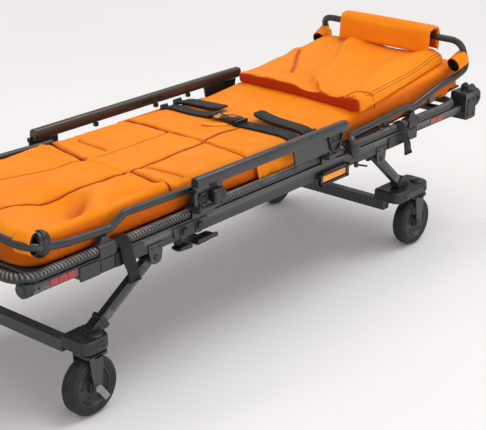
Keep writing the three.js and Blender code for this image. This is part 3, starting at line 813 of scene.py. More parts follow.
def make_rail(name, s, replaces):
    """A bumper rail: slanted ribs pressed into the upper half of a smooth tube."""
    y, z, foot, head = RAIL["y"], RAIL["z"], RAIL["foot"], RAIL["head"]
    corner = RAIL["corner"]
    corners = [(foot, s * 120, z), (foot, s * y, z, corner), (head, s * y, z, corner), (head, s * 0.4, z)]
    step = RIB_PITCH / 7
    route = spaced(bent(corners), step)
    points, faces = swept(route, circle(RAIL["r"], RAIL_SIDES), (0, 0, 1))
    shaped, ribbed = [], []
    for index, point in enumerate(points):
        ring, k = divmod(index, RAIL_SIDES)
        turn = k / RAIL_SIDES
        upper = max(0.0, math.cos(2 * math.pi * turn))
        phase = (ring * step / RIB_PITCH + s * RIB_SLANT * math.sin(2 * math.pi * turn)) % 1.0
        rib = 1.0 if phase < 0.45 else 0.0
        sunk = 1 - 0.09 * min(1.0, upper * 3) * (1 - rib)
        centre = route[ring]
        shaped.append(centre + (Vector(point) - centre) * sunk)
        # the upper half's ribs are marked for the rail paint's painted highlight
        ribbed.append(rib * min(1.0, upper * 2.2))
    made = piece(name, (shaped, faces), RAIL_PAINT, "chassis", 0, replaces)
    made.data.attributes.new("rib", "FLOAT", "POINT").data.foreach_set("value", ribbed)


def clamp_shape(s, x0, x1):
    """A saddle clamp: a sleeve round the rail on a flared foot bolted to the beam."""
    y = s * RAIL["y"]
    sleeve = turned([(16.6, 0), (16.6, x1 - x0)], (x0, y, RAIL["z"]), "x", 36)
    outline = rounded([(y - 16, 409.3, 2), (y + 16, 409.3, 2), (y + 15, 424, 6), (y - 15, 424, 6)], 4)
    foot = prism(outline, "x", x0 + 2, x1 - 2)
    lips = [turned([(13.2, 0), (17.6, 0), (17.6, 3), (13.2, 3)], (x, y, RAIL["z"]), "x", 36)
            for x in (x0 + 0.4, x1 - 3.4)]
    return merged(sleeve, foot, *lips)


def post_shape(s, x0, x1, top, y0, y1):
    """A saddle post that flares from the clamp up to the tube that lies on it."""
    mid = (x0 + x1) / 2
    outline = rounded([(x0 + 2, 434, 3), (x1 - 2, 434, 3), (x1 - 12, 444, 12), (mid + 11, top, 4),
                       (mid - 11, top, 4), (x0 + 12, 444, 12)], 6, 6)
    return prism(outline, "y", s * y0, s * y1)


def hinge_shape(s, x0, x1, *extra):
    """A rail clamp with two ears that carry a guard's hinge pin."""
    y = s * GUARD["hinge_y"]
    ear = rounded([(s * 297, 428), (s * 329, 433), (s * 329, 449), (s * 297, 446)], 8, 5)
    ears = [prism(ear, "x", x, x + 5) for x in (x0, x1 - 5)]
    outline = rounded([(s * 296, 412), (s * 301, 412), (s * 301, 440), (s * 296, 440)], 1.5, 3)
    web = prism(outline, "x", x0, x1)
    pin = disc((0, y, GUARD["hinge_z"]), "x", 3, x0 + 1, x1 - 1, 20)
    heads = [bolt((x0, y, GUARD["hinge_z"]), "x", 4.5, -3), bolt((x1, y, GUARD["hinge_z"]), "x", 4.5, 3)]
    return merged(clamp_shape(s, x0, x1), *ears, web, pin, *heads, *extra)


for side, s in SIDES.items():
    make_rail(f"corrugated_rail_{side}", s, [f"perimeter_rail_{side}"])
    piece(f"foot_rail_saddle_{side}",
          merged(clamp_shape(s, -770, -712), post_shape(s, -770, -712, 458, 272, 288)), CAST_PAINT,
          "chassis", 1.2, [f"foot_rail_post_{side}"])
    upright = block((-425, -402), (s * 273, s * 287), (438, 476.5), 3)
    piece(f"guard_hinge_saddle_foot_{side}", hinge_shape(s, -440, -352, upright), CAST_PAINT, "chassis",
          1.0, [f"guard_hinge_foot_{side}"])
    hinge_x = GUARD_HEAD[side]["hinge_x"]
    piece(f"guard_hinge_saddle_head_{side}", hinge_shape(s, hinge_x, hinge_x + 66), CAST_PAINT,
          "chassis", 1.0, [f"guard_hinge_head_{side}"])
    axis = (HINGE["x"], 0, HINGE["z"])
    cover = [(22, 323.2), (22, 327), (19, 329), (8, 329), (7, 327.4), (0.005, 327.4)]
    pivot = merged(
        clamp_shape(s, HINGE["x"] - 12, HINGE["x"] + 40),
        disc(axis, "y", 6, s * 297, s * 326, 24),
        turned([(radius, s * out) for radius, out in cover], axis, "y", 48),
    )
    piece(f"backrest_pivot_saddle_{side}", pivot, BLACK_PLASTIC, "chassis", 1.0,
          [f"backrest_pivot_{side}"])
    piece(f"backrest_rest_saddle_{side}",
          merged(clamp_shape(s, 578, 632), post_shape(s, 578, 632, 456.5, 274, 292)), CAST_PAINT,
          "chassis", 1.2, [f"backrest_rest_{side}"])


# ---- cross tubes, decks and the foot sleeve ----
for node, x in (("foot_cross_tube", -950), ("head_cross_tube", 860)):
    z = (BEAM["end"] + BEAM["z1"]) / 2
    ends = [turned([(12.5, 0), (17, 0), (17, s * 4), (12.5, s * 6)], (x, s * 243.4, z), "y", 32)
            for s in (-1, 1)]
    piece(f"{node}_round", merged(disc((x, 0, z), "y", 12.5, -249.6, 249.6, 32), *ends), FRAME_PAINT,
          "chassis", 0.8, [node])


def sleeve_shape():
    foot, z = RAIL["foot"], RAIL["z"]
    parts = [disc((foot, 0, z), "y", 11, -119.5, 119.5, 32)]
    for s in (-1, 1):
        low, high = foot - 30, foot + 18
        outline = rounded([(low, z - 34), (high, z - 34), (high, z + 18), (low, z + 18)], 9)
        parts.append(prism(outline, "y", s * 112, s * 185))
        parts += [bolt((foot - 30, s * y, z - 12), "x", 5, -3) for y in (132, 166)]
    return merged(*parts)


piece("foot_sleeve_blocks", sleeve_shape(), BLACK_PLASTIC, "chassis", 1.6, ["foot_sleeve_bar"])
keep_node("seat_deck", CAST_PAINT)
keep_node("backrest_deck", CAST_PAINT)


# ---- foot rail and backrest tube ----
def foot_rail_route():
    half = [(-400, 487, 0), (-666, 494, 30), (-718, 468, 30), (-860, 476, 300)]
    near = [(x, -280, z, r) for x, z, r in half]
    turn = [(-972, -280, 494, 100), (-972, -120, 500, 60)]
    first = near + turn
    return first + [(x, -y, z, r) for x, y, z, r in reversed(first)]


def back_tube_route():
    half = [(252, 311.7, 411, 0), (253, 311.7, 452, 20), (282, 283, 459, 20), (440, 283, 468, 200),
            (578, 283, 477, 40), (606, 283, 469, 40), (650, 283, 478, 40), (768, 283, 504, 80),
            (872, 283, 515, 80), (938, 283, 531, 34), (HEAD_BAR["x"], HEAD_BAR["y"], HEAD_BAR["z"], 42)]
    near = [(x, -y, z, r) for x, y, z, r in half]
    return near + [(x, -y, z, r) for x, y, z, r in reversed(near)]


foot_route = spaced(bent(foot_rail_route()), 6)
back_route = spaced(bent(back_tube_route()), 6)
piece("foot_rail_tube", tube(foot_route, FOOT_TUBE, 24), FRAME_PAINT, "chassis", 0, ["foot_rail"])
piece("backrest_bent_tube", tube(back_route, BACK_TUBE, 24), FRAME_PAINT, "backrest", 0, ["backrest_tube"])


# ---- head blocks and loading rollers ----
def head_block_shape(s):
    body = prism(rounded([(908.4, 358), (973, 358), (973, 450), (908.4, 450)], 9), "y", s * 246, s * 306)
    arm = rounded([(936, 440), (936, 470), (966, 474), (1020, 424), (1014, 402), (996, 404), (965, 436)],
                  9)
    arms = [prism(arm, "y", s * a, s * b) for a, b in ((266, 271), (291, 296))]
    pin = disc((ROLLER["x"], 0, ROLLER["z"]), "y", 4, s * 264, s * 298, 20)
    heads = [bolt((ROLLER["x"], s * y, ROLLER["z"]), "y", 6.5, out * s * 4)
             for y, out in ((296, 1), (266, -1))]
    face = block((918, 963), (s * 305, s * 308), (368, 430), 6)
    bolts = [bolt((x, s * 308, z), "y", 4, s * 2.5) for z in (376, 422) for x in (926, 955)]
    return merged(body, *arms, pin, *heads, face, *bolts)


def roller_lobes(angle):
    """Seven shallow hollows round the roller."""
    return 1.0 - 0.045 * (0.5 + 0.5 * math.cos(7 * angle)) ** 2


def roller_shape(s):
    half = [(4.4, -9), (11, -9), (12, -7), (19, -6.4), (21, -8.6), (27, -8.6), (31, -6), (32, -3)]
    profile = half + [(radius, -height) for radius, height in reversed(half)] + [half[0]]
    return turned(profile, (ROLLER["x"], s * ROLLER["y"], ROLLER["z"]), "y", 84, roller_lobes)


for side, s in SIDES.items():
    piece(f"head_block_cast_{side}", head_block_shape(s), CAST_PAINT, "chassis", 1.8,
          [f"head_block_{side}"], 3)
    piece(f"loading_roller_lobed_{side}", roller_shape(s), BLACK_PLASTIC, f"loading_roller_{side}", 0.8,
          [f"loading_roller_{side}"])


# ---- side guards ----
def fuller(value):
    """Pulls a circle's coordinate outwards, towards a rounded square."""
    return math.copysign(abs(value) ** 0.72, value)


def guard_rail_shape(s, x1):
    """The handrail, a tall rounded bar, squared off at the foot end and domed at the head end."""
    y, z, w, h, lift = s * GUARD["y"], GUARD["z"], GUARD["w"] / 2, GUARD["h"] / 2 - 1.5, 1.5
    turns = [2 * math.pi * i / 48 for i in range(48)]
    section = [(s * w * fuller(math.cos(a)), lift + h * fuller(math.sin(a))) for a in turns]
    ends = [(0, 0.9), (2, 0.97), (5, 1.0)]
    dome = [(16, 1.0), (11, 0.97), (6, 0.89), (2.5, 0.74), (0.6, 0.5), (0, 0.3)]
    stations = [(GUARD["x0"] + a, size) for a, size in ends] + [(x1 - a, size) for a, size in dome]
    route = [Vector((x, y, z)) for x, _ in stations]
    return swept(route, section, (0, 1, 0), lambda i: stations[i][1])


def guard_plates(s, head):
    """Foot plate and head plate hung from the handrail, with their hinge knuckles and a lip."""
    hx, reach = head["hinge_x"], head["plate"]
    end = hx + 10
    outlines = [
        [(-434, 442), (-434, 450), (-452, 459), (-452, 507), (-344, 500), (-344, 459), (-362, 450),
         (-362, 442)],
        [(hx - reach + 10, 452), (hx - reach, 500), (end, 500), (end, 455)],
    ]
    parts = [prism(rounded(o, 5, 4), "y", s * 315.4, s * 321.4) for o in outlines]
    y, z = s * GUARD["hinge_y"], GUARD["hinge_z"]
    barrels = [(-434, -358), (hx + 6, hx + 60)]
    parts += [turned([(3.4, a), (7.2, a), (7.2, b), (3.4, b), (3.4, a)], (0, y, z), "x", 28)
              for a, b in barrels]
    lip = rounded([(s * 318, 489), (s * 327, 492), (s * 328, 504), (s * 318, 506)], 5, 5)
    parts.append(prism(lip, "x", -452, -402))
    return merged(*parts)


def guard_shield(s, hx):
    """The hinge shield: a broad plate, a hoop formed round its lower edge and two bolts."""
    outline = rounded([(hx + 7, 442), (hx - 6, 500), (hx + 72, 500), (hx + 60, 442)], 6, 5)
    plate = prism(outline, "y", s * 316, s * 322)
    y = s * 325
    hoop = [(hx - 2, y, 500), (hx + 14, y, 462, 22), (hx + 33, y, 449, 16), (hx + 52, y, 462, 22),
            (hx + 66, y, 500)]
    rim = swept(spaced(bent(hoop), 4), flat_section(7, 7, 3), (0, 1, 0))
    web = prism(rounded([(hx + 8, 474), (hx + 60, 474), (hx + 60, 482), (hx + 8, 482)], 3), "y", s * 321,
                s * 325)
    bolts = [bolt((x, s * 322, up), "y", 3.2, s * 2.4) for x, up in ((hx + 24, 490), (hx + 44, 490))]
    return merged(plate, rim, web, *bolts)


def latch_recess(s):
    """The black frame round the latch opening in the guard's foot plate."""
    x, z, out = -424, 470, 321
    bars = [((-15, 15), (12, 17)), ((-15, 15), (-17, -12)), ((-15, -10), (-17, 17)), ((10, 15), (-17, 17))]
    frame_bars = [block((x + a, x + b), (s * (out - 0.4), s * (out + 4)), (z + low, z + high), 1.5)
                  for (a, b), (low, high) in bars]
    pawl = block((x - 6, x + 10), (s * out, s * (out + 3)), (z - 9, z + 7), 3)
    stem = block((x - 2, x + 12), (s * (out - 1), s * (out + 3)), (z - 24, z - 12), 2)
    return merged(*frame_bars, pawl, stem)


def latch_shape(s):
    """Sprung latch grip: a waisted, finger-grooved barrel on its stem."""
    x, z, shank, half = LATCH["x"], LATCH["z"], LATCH["shank"], LATCH["half"]
    section = rounded([(-12, -17.5), (12, -17.5), (12, 17.5), (-12, 17.5)], 9, 6)
    stations = [(-half, 0.8), (-half + 2.5, 0.97), (-half + 6, 1.0), (-8, 1.0), (-6.5, 0.93), (6.5, 0.93),
                (8, 1.0), (half - 6, 1.0), (half - 2.5, 0.97), (half, 0.8)]
    route = [Vector((x + a, s * 335, z)) for a, _ in stations]
    grip = swept(route, section, (0, 1, 0), lambda i: stations[i][1])
    stem = turned([(0.005, s * 303), (shank + 4, s * 303), (shank + 4, s * 307.4), (shank, s * 307.4),
                   (shank, s * 326)], (x, 0, z), "y", 24)
    return merged(grip, stem)


def far_bumpers():
    """Rubber stops under the long handrail."""
    return merged(*(block((x - 7, x + 7), (305, 316), (481, 494), 3) for x in (-197, 62, 211)))


for side, s in SIDES.items():
    # the far handrail's brown tint is a painted reflection
    paint = GUARD_PAINT if side == "near" else FAR_GUARD_REFLECTION_PAINT
    head = GUARD_HEAD[side]
    piece(f"guard_handrail_{side}", guard_rail_shape(s, head["x1"]), paint, f"guard_{side}", 1.6,
          [f"side_guard_{side}"], 3)
    piece(f"guard_plates_{side}", guard_plates(s, head), FRAME_PAINT, f"guard_{side}", 0.9)
    piece(f"guard_shield_{side}", guard_shield(s, head["hinge_x"]), BLACK_PLASTIC, f"guard_{side}", 0.9)
    piece(f"guard_latch_frame_{side}", latch_recess(s), BLACK_PLASTIC, f"guard_{side}", 0.6)
    piece(f"guard_latch_grip_{side}", latch_shape(s), BLACK_PLASTIC, f"guard_latch_{side}",
          1.2, [f"guard_latch_knob_{side}"])


piece("far_guard_bumpers", far_bumpers(), BLACK_PLASTIC, "guard_far", 1.2)


# ---- pedal and carry handle ----
def pedal_shape():
    """A bent arm carrying two curled black treads, one ahead of the other."""
    arm = rounded([(-476, 359), (-476, 340), (-440, 336), (-392, 343), (-392, 350), (-430, 350),
                   (-446, 363.4), (-462, 363.4)], 5, 4)
    front = rounded([(-430, -308, 14), (-340, -300, 18), (-346, -262, 10), (-424, -262, 6)], 8, 5)
    back = rounded([(-492, -296, 14), (-436, -304, 16), (-436, -262, 6), (-486, -262, 10)], 8, 5)
    treads = [prism(front, "z", 336, 342), prism(back, "z", 334, 339)]
    curl = [block((-424, -346), (-306, -300), (338, 350), 3),
            block((-486, -440), (-301, -296), (336, 346), 3)]
    grips = [block((x, x + 3), (-299, -267), (341.4, 343.4)) for x in range(-380, -350, 7)]
    return merged(prism(arm, "y", -286, -264), *treads, *curl, *grips)


def pedal_bracket():
    """The bracket on the beam over the pedal, with two large hex bolts."""
    y = -BEAM["y1"]
    plate = prism(rounded([(-500, 372), (-380, 372), (-372, 403), (-508, 403)], 5, 4), "y", y, y - 4)
    parts = []
    for x in (-468, -410):
        wing = rounded([(x - 13, 366), (x + 13, 366), (x + 11, 398), (x - 11, 398)], 7, 5)
        parts.append(prism(wing, "y", y - 4, y - 7))
        parts.append(turned([(11, 0), (11, -7), (8.5, -9), (0.005, -9)], (x, y - 7, 387), "y", 6))
    return merged(plate, *parts)


def catch_lever_shape():
    """A small bent lever on its boss, under the near beam."""
    line = [Vector((306, -293, 360)), Vector((326, -296, 354)), Vector((352, -298, 345))]
    return merged(block((300, 312), (-295, -286), (352, 368), 4), tube(spaced(line, 4), 3.2, 12))


piece("beam_catch_lever", catch_lever_shape(), BLACK_PLASTIC, "chassis", 0.6)
piece("release_pedal_plate", pedal_shape(), BLACK_PLASTIC, "release_pedal", 1.2, ["release_pedal"])
piece("release_pedal_bracket", pedal_bracket(), CAST_PAINT, "chassis", 1.0)


def handle_frame():
    """A backing plate on the beam with a raised rim of four bars."""
    outline = rounded([(116, 386), (112, 356), (122, 344), (240, 344), (252, 356), (252, 386)], 8)
    bars = [((112, 252), (344, 351.5)), ((112, 252), (378.5, 386)), ((112, 122), (344, 386)),
            ((238, 252), (344, 386))]
    return merged(prism(outline, "y", -296, -290.4), *(block(x, (-303, -296), z, 3) for x, z in bars))


piece("carry_handle_frame", handle_frame(), BLACK_PLASTIC, "carry_handle", 1.4, ["carry_handle"])
piece("carry_handle_bar", block((124, 236), (-302, -297), (355, 374), 5), ORANGE_GRIP, "carry_handle", 1.8)


# ---- soft goods ----
def evaluated_mesh(made):
    graph = bpy.context.evaluated_depsgraph_get()
    return bpy.data.meshes.new_from_object(made.evaluated_get(graph))


def points_of(mesh):
    flat = np.empty(len(mesh.vertices) * 3)
    mesh.vertices.foreach_get("co", flat)
    return flat.reshape(-1, 3)


def set_points(mesh, points):
    mesh.vertices.foreach_set("co", np.asarray(points, dtype=np.float32).ravel())
    mesh.update()


def swap_mesh(made, mesh):
    old = made.data
    made.modifiers.clear()
    made.data = mesh
    bpy.data.meshes.remove(old)


def remeshed(made, size):
    """Rebuilds a mesh as even cells of a size in millimetres."""
    voxel = made.modifiers.new("even_mesh", "REMESH")
    voxel.mode = "VOXEL"
    voxel.voxel_size = size * MM
    swap_mesh(made, evaluated_mesh(made))


CLOTH_SLACK = 0.02
CLOTH_FRAMES = 20


def swollen(made, held, pressure, cap):
    """Cloth inflated by pressure with some points held; no point ends further than cap from its start."""
    start = points_of(made.data)
    group = made.vertex_groups.new(name="held")
    for index in np.flatnonzero(held > 0.01):
        group.add([int(index)], float(held[index]), "REPLACE")
    cloth = made.modifiers.new("swell", "CLOTH")
    settings = cloth.settings
    settings.quality = 4
    settings.mass = 0.3
    settings.tension_stiffness = 18
    settings.compression_stiffness = 12
    settings.shear_stiffness = 6
    settings.bending_stiffness = 0.4
    settings.use_pressure = True
    settings.uniform_pressure_force = pressure
    settings.shrink_min = -CLOTH_SLACK
    settings.vertex_group_mass = "held"
    settings.effector_weights.gravity = 0
    cloth.collision_settings.use_collision = False
    scene = bpy.context.scene
    for number in range(1, CLOTH_FRAMES + 1):
        scene.frame_set(number)
    mesh = evaluated_mesh(made)
    moved = points_of(mesh) - start
    length = np.linalg.norm(moved, axis=1, keepdims=True)
    limit = cap * MM
    eased = limit * np.tanh(length / limit) / np.maximum(length, 1e-9)
    set_points(mesh, start + moved * eased)
    made.vertex_groups.clear()
    swap_mesh(made, mesh)
    scene.frame_set(1)


def subdivided(made):
    fine = made.modifiers.new("fine", "SUBSURF")
    fine.levels = 1
    fine.render_levels = 1
    swap_mesh(made, evaluated_mesh(made))


def cushion(name, shape, voxel, held, pressure, cap, rounding=None):
    """A cover remeshed, swollen with the points that held(x, y, z) chooses kept still, and smoothed."""
    made = make_object(name, shape, ORANGE)
    if rounding:
        soften(made, *rounding, 60)
    remeshed(made, voxel)
    swollen(made, held(*(points_of(made.data) / MM).T).astype(float), pressure, cap)
    subdivided(made)
    return made


def dressed(made, crease_shade, *nodes):
    """Gives a cushion its painted crease shade and smooth shading, and hides the CAD nodes that it stands
    for.
    """
    crease_values(made, crease_shade)
    made.data.shade_smooth()
    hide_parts(*nodes)


def line_distance(x, y, line):
    """Distance in plan from each point to a polyline, and the signed side of its nearest stretch."""
    best = np.full(x.shape, 1e9)
    side = np.zeros(x.shape)
    for (ax, ay), (bx, by) in zip(line, line[1:]):
        dx, dy = bx - ax, by - ay
        t = np.clip(((x - ax) * dx + (y - ay) * dy) / (dx * dx + dy * dy), 0, 1)
        gap = np.hypot(x - ax - t * dx, y - ay - t * dy)
        cross = np.sign(dx * (y - ay) - dy * (x - ax))
        nearer = gap < best
        best = np.where(nearer, gap, best)
        side = np.where(nearer, cross, side)
    return best, side


def groove(x, y, line, width):
    """1 on a plan polyline, fading out over about the width."""
    return np.exp(-(line_distance(x, y, line)[0] / width) ** 2)


def ease(value, low, high):
    """A smooth step from 0 at low to 1 at high."""
    t = np.clip((value - low) / (high - low), 0, 1)
    return t * t * (3 - 2 * t)


def bell(value, centre, width):
    """1 at the centre, fading out over about the width."""
    return np.exp(-((value - centre) / width) ** 2)


def crease_values(made, values):
    layer = made.data.attributes.get("crease_shade") or made.data.attributes.new("crease_shade", "FLOAT", "POINT")
    layer.data.foreach_set("value", values.astype(np.float32))


def soft_noise(x, y, pitch, seed):
    """Smooth repeatable rumples built from a few crossed waves."""
    total = np.zeros(x.shape)
    for k in range(5):
        a = seed + 2.4 * k
        u = x * math.cos(a) + y * math.sin(a)
        v = -x * math.sin(a) + y * math.cos(a)
        total += np.sin(u / pitch * (1 + 0.31 * k) + 1.7 * np.sin(v / (pitch * 1.9) + a))
    return total / 5


STRIP_FAR = [(-945, 178), (-850, 160), (-714, 130), (-600, 92), (-432, 46), (-146, 52)]
STRIP_NEAR = [(-945, -28), (-855, -40), (-700, -62), (-466, -103), (-149, -86)]
PANEL_FAR = [(-428, 262), (-450, 200), (-470, 120), (-487, 51)]
PANEL_NEAR = [(-466, -103), (-474, -180), (-470, -262)]
YOKE = [(-132, 262), (-140, 150), (-149, -20), (-149, -86), (-158, -180), (-162, -262)]
PLEAT_FAR = [(-370, 196), (-382, 185), (-390, 72)]
PLEAT_NEAR = [(-415, -116), (-408, -180), (-402, -232)]
FOLD_LINE = [(-138, -76), (-70, -66), (6, -74)]
SEAMS = [STRIP_FAR, STRIP_NEAR, PANEL_FAR, PANEL_NEAR, YOKE]
# each crease: line, depth and width of its dip, then width and strength of its painted shade
CREASES = [
    (STRIP_FAR, 1.0, 5, 3.5, 0.3),
    (STRIP_NEAR, 1.8, 5, 5, 0.8),
    (PANEL_FAR, 4.5, 6, 6, 1.0),
    (PANEL_NEAR, 4.5, 6, 6, 1.0),
    (YOKE, 3, 6, 6, 1.0),
    (PLEAT_FAR, 3, 6, 5, 0.7),
    (PLEAT_NEAR, 3, 6, 5, 0.7),
    (FOLD_LINE, 2.5, 5, 5, 0.9),
]
# a ridge runs beside each of these creases, with this height
RIDGES = [(PANEL_FAR, 4), (PANEL_NEAR, 4), (PLEAT_FAR, 2.5), (PLEAT_NEAR, 2.5), (YOKE, 1.5)]


def lean(points):
    """Bends points in metres up to the backrest's rest slope, easing in across the hinge."""
    x, y, z = points[:, 0] / MM, points[:, 1] / MM, points[:, 2] / MM
    angle = np.radians(HINGE["tilt"]) * ease(x, HINGE["x"] - 90, HINGE["x"] + 90)
    dx, dz = x - HINGE["x"], z - HINGE["z"]
    return np.stack([
        HINGE["x"] + dx * np.cos(angle) - dz * np.sin(angle),
        y,
        HINGE["z"] + dx * np.sin(angle) + dz * np.cos(angle),
    ], axis=1) * MM


HOLLOW = {"x": -722, "y": -138, "cos": 0.65, "sin": 0.76}


def heel_hollow(x, y):
    """A round dip, steep towards the near head side: its height, and where its steep wall is, for painted
    shade there.
    """
    dx, dy = x - HOLLOW["x"], y - HOLLOW["y"]
    u = dx * HOLLOW["cos"] - dy * HOLLOW["sin"]
    v = dx * HOLLOW["sin"] + dy * HOLLOW["cos"]
    width = np.where(u > 0, 42, 95)
    dip = -34 * np.exp(-np.abs(u / width) ** 3.2 - np.abs(v / 84) ** 2.6)
    # where the steep wall is: it gets painted shade
    wall_shade = ease(u, -30, 24) * (1 - ease(u, 34, 52)) * bell(v, -8, 56)
    return dip + 8 * bell(u, 70, 22) * bell(v, 0, 90), wall_shade


def mattress_relief(x, y):
    """Heights added to the mattress top: rolled edges, heel hollow, panel steps, pleats and rumples."""
    foot_part = ease(x, -945, -890) * (1 - ease(x, -486, -452))
    rise = 5 * (1 - (y / MATTRESS["y"]) ** 2) + heel_hollow(x, y)[0]
    rise += foot_part * (12 * bell(y, -240, 17) + 8 * bell(y, 238, 20))
    rise -= 15 * bell(y, -197, 24) * bell(x, -590, 88)
    rise += 7 * bell(x, -510, 34) * ease(y, -262, -230) * (1 - ease(y, 210, 262))
    middle = ease(x, -490, -481) * (1 - ease(x, -160, -152))
    rise += 5.5 * middle + 3 * ease(x, -152, -144) * (1 - ease(x, -40, 60))
    strip = ease(y, -96, -84) * (1 - ease(y, 44, 56)) * ease(x, -945, -700) * (1 - ease(x, -160, -150))
    rise += 1.8 * strip
    for line, depth, width, *_ in CREASES:
        rise -= depth * groove(x, y, line, width)
    for line, height in RIDGES:
        rise += height * groove(x - 17, y, line, 14)
    rise += 1.3 * soft_noise(x, y, 70, 0.4) + 0.6 * soft_noise(x, y, 26, 1.3)
    tug = bell(x, -150, 130) * soft_noise(x * 0.35, y * 1.8, 30, 2.2)
    return rise + 1.6 * tug


def side_relief(x, z):
    """Outward swell of the mattress sides, with slack vertical rumples in the cover."""
    belly = 3.5 * (1 - ((z - 458) / 42) ** 2)
    return belly + 1.2 * soft_noise(x, z * 0.6, 38, 3.1) + 0.7 * soft_noise(x, z, 15, 0.9)


MATTRESS_INSET = 4


def mattress_held(x, y, z):
    """The mattress's underside, and its seams along the top."""
    top = z > MATTRESS["z1"] - 14
    held = z < MATTRESS["z0"] + 14
    for line in SEAMS:
        held = held | (top & (line_distance(x, y, line)[0] < 5.5))
    return held


def mattress_crease(x, y, z, upper, foot):
    """Painted shade on the cover: dark in its seams and folds, on its sides and on the steep wall of the
    heel hollow.
    """
    crease_shade = np.zeros(len(x))
    # painted shade along the seams and folds
    for line, _, _, width, strength in CREASES:
        crease_shade = np.maximum(crease_shade, strength * groove(x, y, line, width))
    radius = MATTRESS["foot_r"]
    beyond = np.abs(y) - MATTRESS["y"] + MATTRESS_INSET + radius
    outward = np.hypot(np.maximum(foot + radius - x, 0), np.maximum(beyond, 0))
    # painted shade, darker and redder, on the cover's sides below the top
    side = (1 - ease(z, 488, 500)) * ease(outward, radius - 18, radius - 2)
    # and painted shade on the heel hollow's steep wall
    return np.maximum(crease_shade * upper, np.maximum(0.56 * side, 0.6 * upper * heel_hollow(x, y)[1]))


def make_mattress():
    m, inset = MATTRESS, MATTRESS_INSET
    low, high, y = m["foot"] + inset, m["head"] - inset, m["y"] - inset
    plan = rounded([(low, -y, m["foot_r"]), (high, -y, m["head_r"]), (high, y, m["head_r"]),
                    (low, y, m["foot_r"])], 0, 12)
    shape = prism(plan, "z", m["z0"] + 3, m["z1"] - 6)
    made = cushion("mattress_cover", shape, 8, mattress_held, 4.0, 4.5, (20, 4))
    x, y, z = (points_of(made.data) / MM).T
    upper = ease(z, 470, 488)
    z = z + upper * mattress_relief(x, y)
    middle_height = ease(z, 418, 430) * (1 - ease(z, 476, 494))
    run = np.abs(x) < 860
    y = y + np.sign(y) * np.where(np.abs(y) > 235, middle_height * side_relief(x, z), 0) * run
    hung = ease(np.abs(y), 250, 256) * (1 - ease(z, 426, 470)) * ease(x, 430, 500)
    hung = hung * (1 - ease(x, 915, 940))
    y = y + np.sign(y) * 6 * hung
    z = z - 26 * hung
    set_points(made.data, lean(np.stack([x, y, z], axis=1) * MM))
    dressed(made, mattress_crease(x, y, z, upper, low), "seat_mattress", "back_mattress")
    return made


mattress = make_mattress()


def surface_of(made):
    edit = bmesh.new()
    edit.from_mesh(made.data)
    tree = BVHTree.FromBMesh(edit)
    edit.free()
    return tree


mattress_surface = surface_of(mattress)


def drop(x, y, surface, above=900.0):
    """Height in millimetres of the surface under a plan point."""
    hit = surface.ray_cast(Vector((x, y, above)) * MM, Vector((0, 0, -1)))[0]
    return hit.z / MM if hit else MATTRESS["z1"]


def laid_line(line, step, surface, lift):
    """A plan line laid on a surface, as a route of points."""
    route = spaced([Vector((x, y, 0)) for x, y in line], step)
    return [Vector((p.x, p.y, drop(p.x, p.y, surface) + lift)) for p in route]


# A dark cord laid along a line: stitching, and painted shadow where it lies in a seam gap or crease.
def seam_cord(name, line, radius, surface=mattress_surface, body="chassis"):
    piece(name, tube(laid_line(line, 5, surface, 0.0), radius, 8), SEAM_CORD_AND_SHADE, body)


def inside(line, margin=252):
    """A seam line kept on the flat part of the mattress top."""
    return [(x, max(-margin, min(margin, y))) for x, y in line]


# The mattress cords lie in its seam gaps and its fold: painted shadow there.
seam_cord("seam_strip_far", STRIP_FAR, 0.7)
seam_cord("seam_strip_near", STRIP_NEAR, 1.2)
seam_cord("seam_panel_far", inside(PANEL_FAR), 1.9)
seam_cord("seam_panel_near", inside(PANEL_NEAR), 1.9)
seam_cord("seam_yoke", inside(YOKE), 1.7)
seam_cord("seam_fold", FOLD_LINE, 1.4)


# ---- back pad ----
RIDGE_FAR = [(910, 132), (816, 114), (668, 42), (560, 2), (470, -14), (420, -60)]
RIDGE_NEAR = [(910, -168), (822, -176), (755, -150), (634, -166), (505, -200), (400, -226)]
PAD_PLEAT = [(690, 222), (620, 180), (552, 134), (480, 92)]
PAD_CORNER = [(360, -206), (392, -216), (424, -240), (436, -262)]
PAD_CREASES = [(PAD_PLEAT, 6, 9, 6, 0.8), (PAD_CORNER, 5, 7, 4, 0.5)]


def along_edge(first, second, inset=0.0):
    """Points on the line between two pad corners, moved in towards the pad's middle."""
    (ax, ay), (bx, by) = PAD["corners"][first], PAD["corners"][second]
    middle_y = sum(y for _, y in PAD["corners"]) / 4
    lean_in = math.copysign(inset, middle_y - (ay + by) / 2)
    return [(ax + (bx - ax) * f, ay + (by - ay) * f + lean_in) for f in (0.07, 0.35, 0.65, 0.94)]


def front_gap(x, y):
    """Distance behind the pad's front edge."""
    (ax, ay), (bx, by) = PAD["corners"][0], PAD["corners"][3]
    return x - (ax + (bx - ax) * (y - ay) / (by - ay))


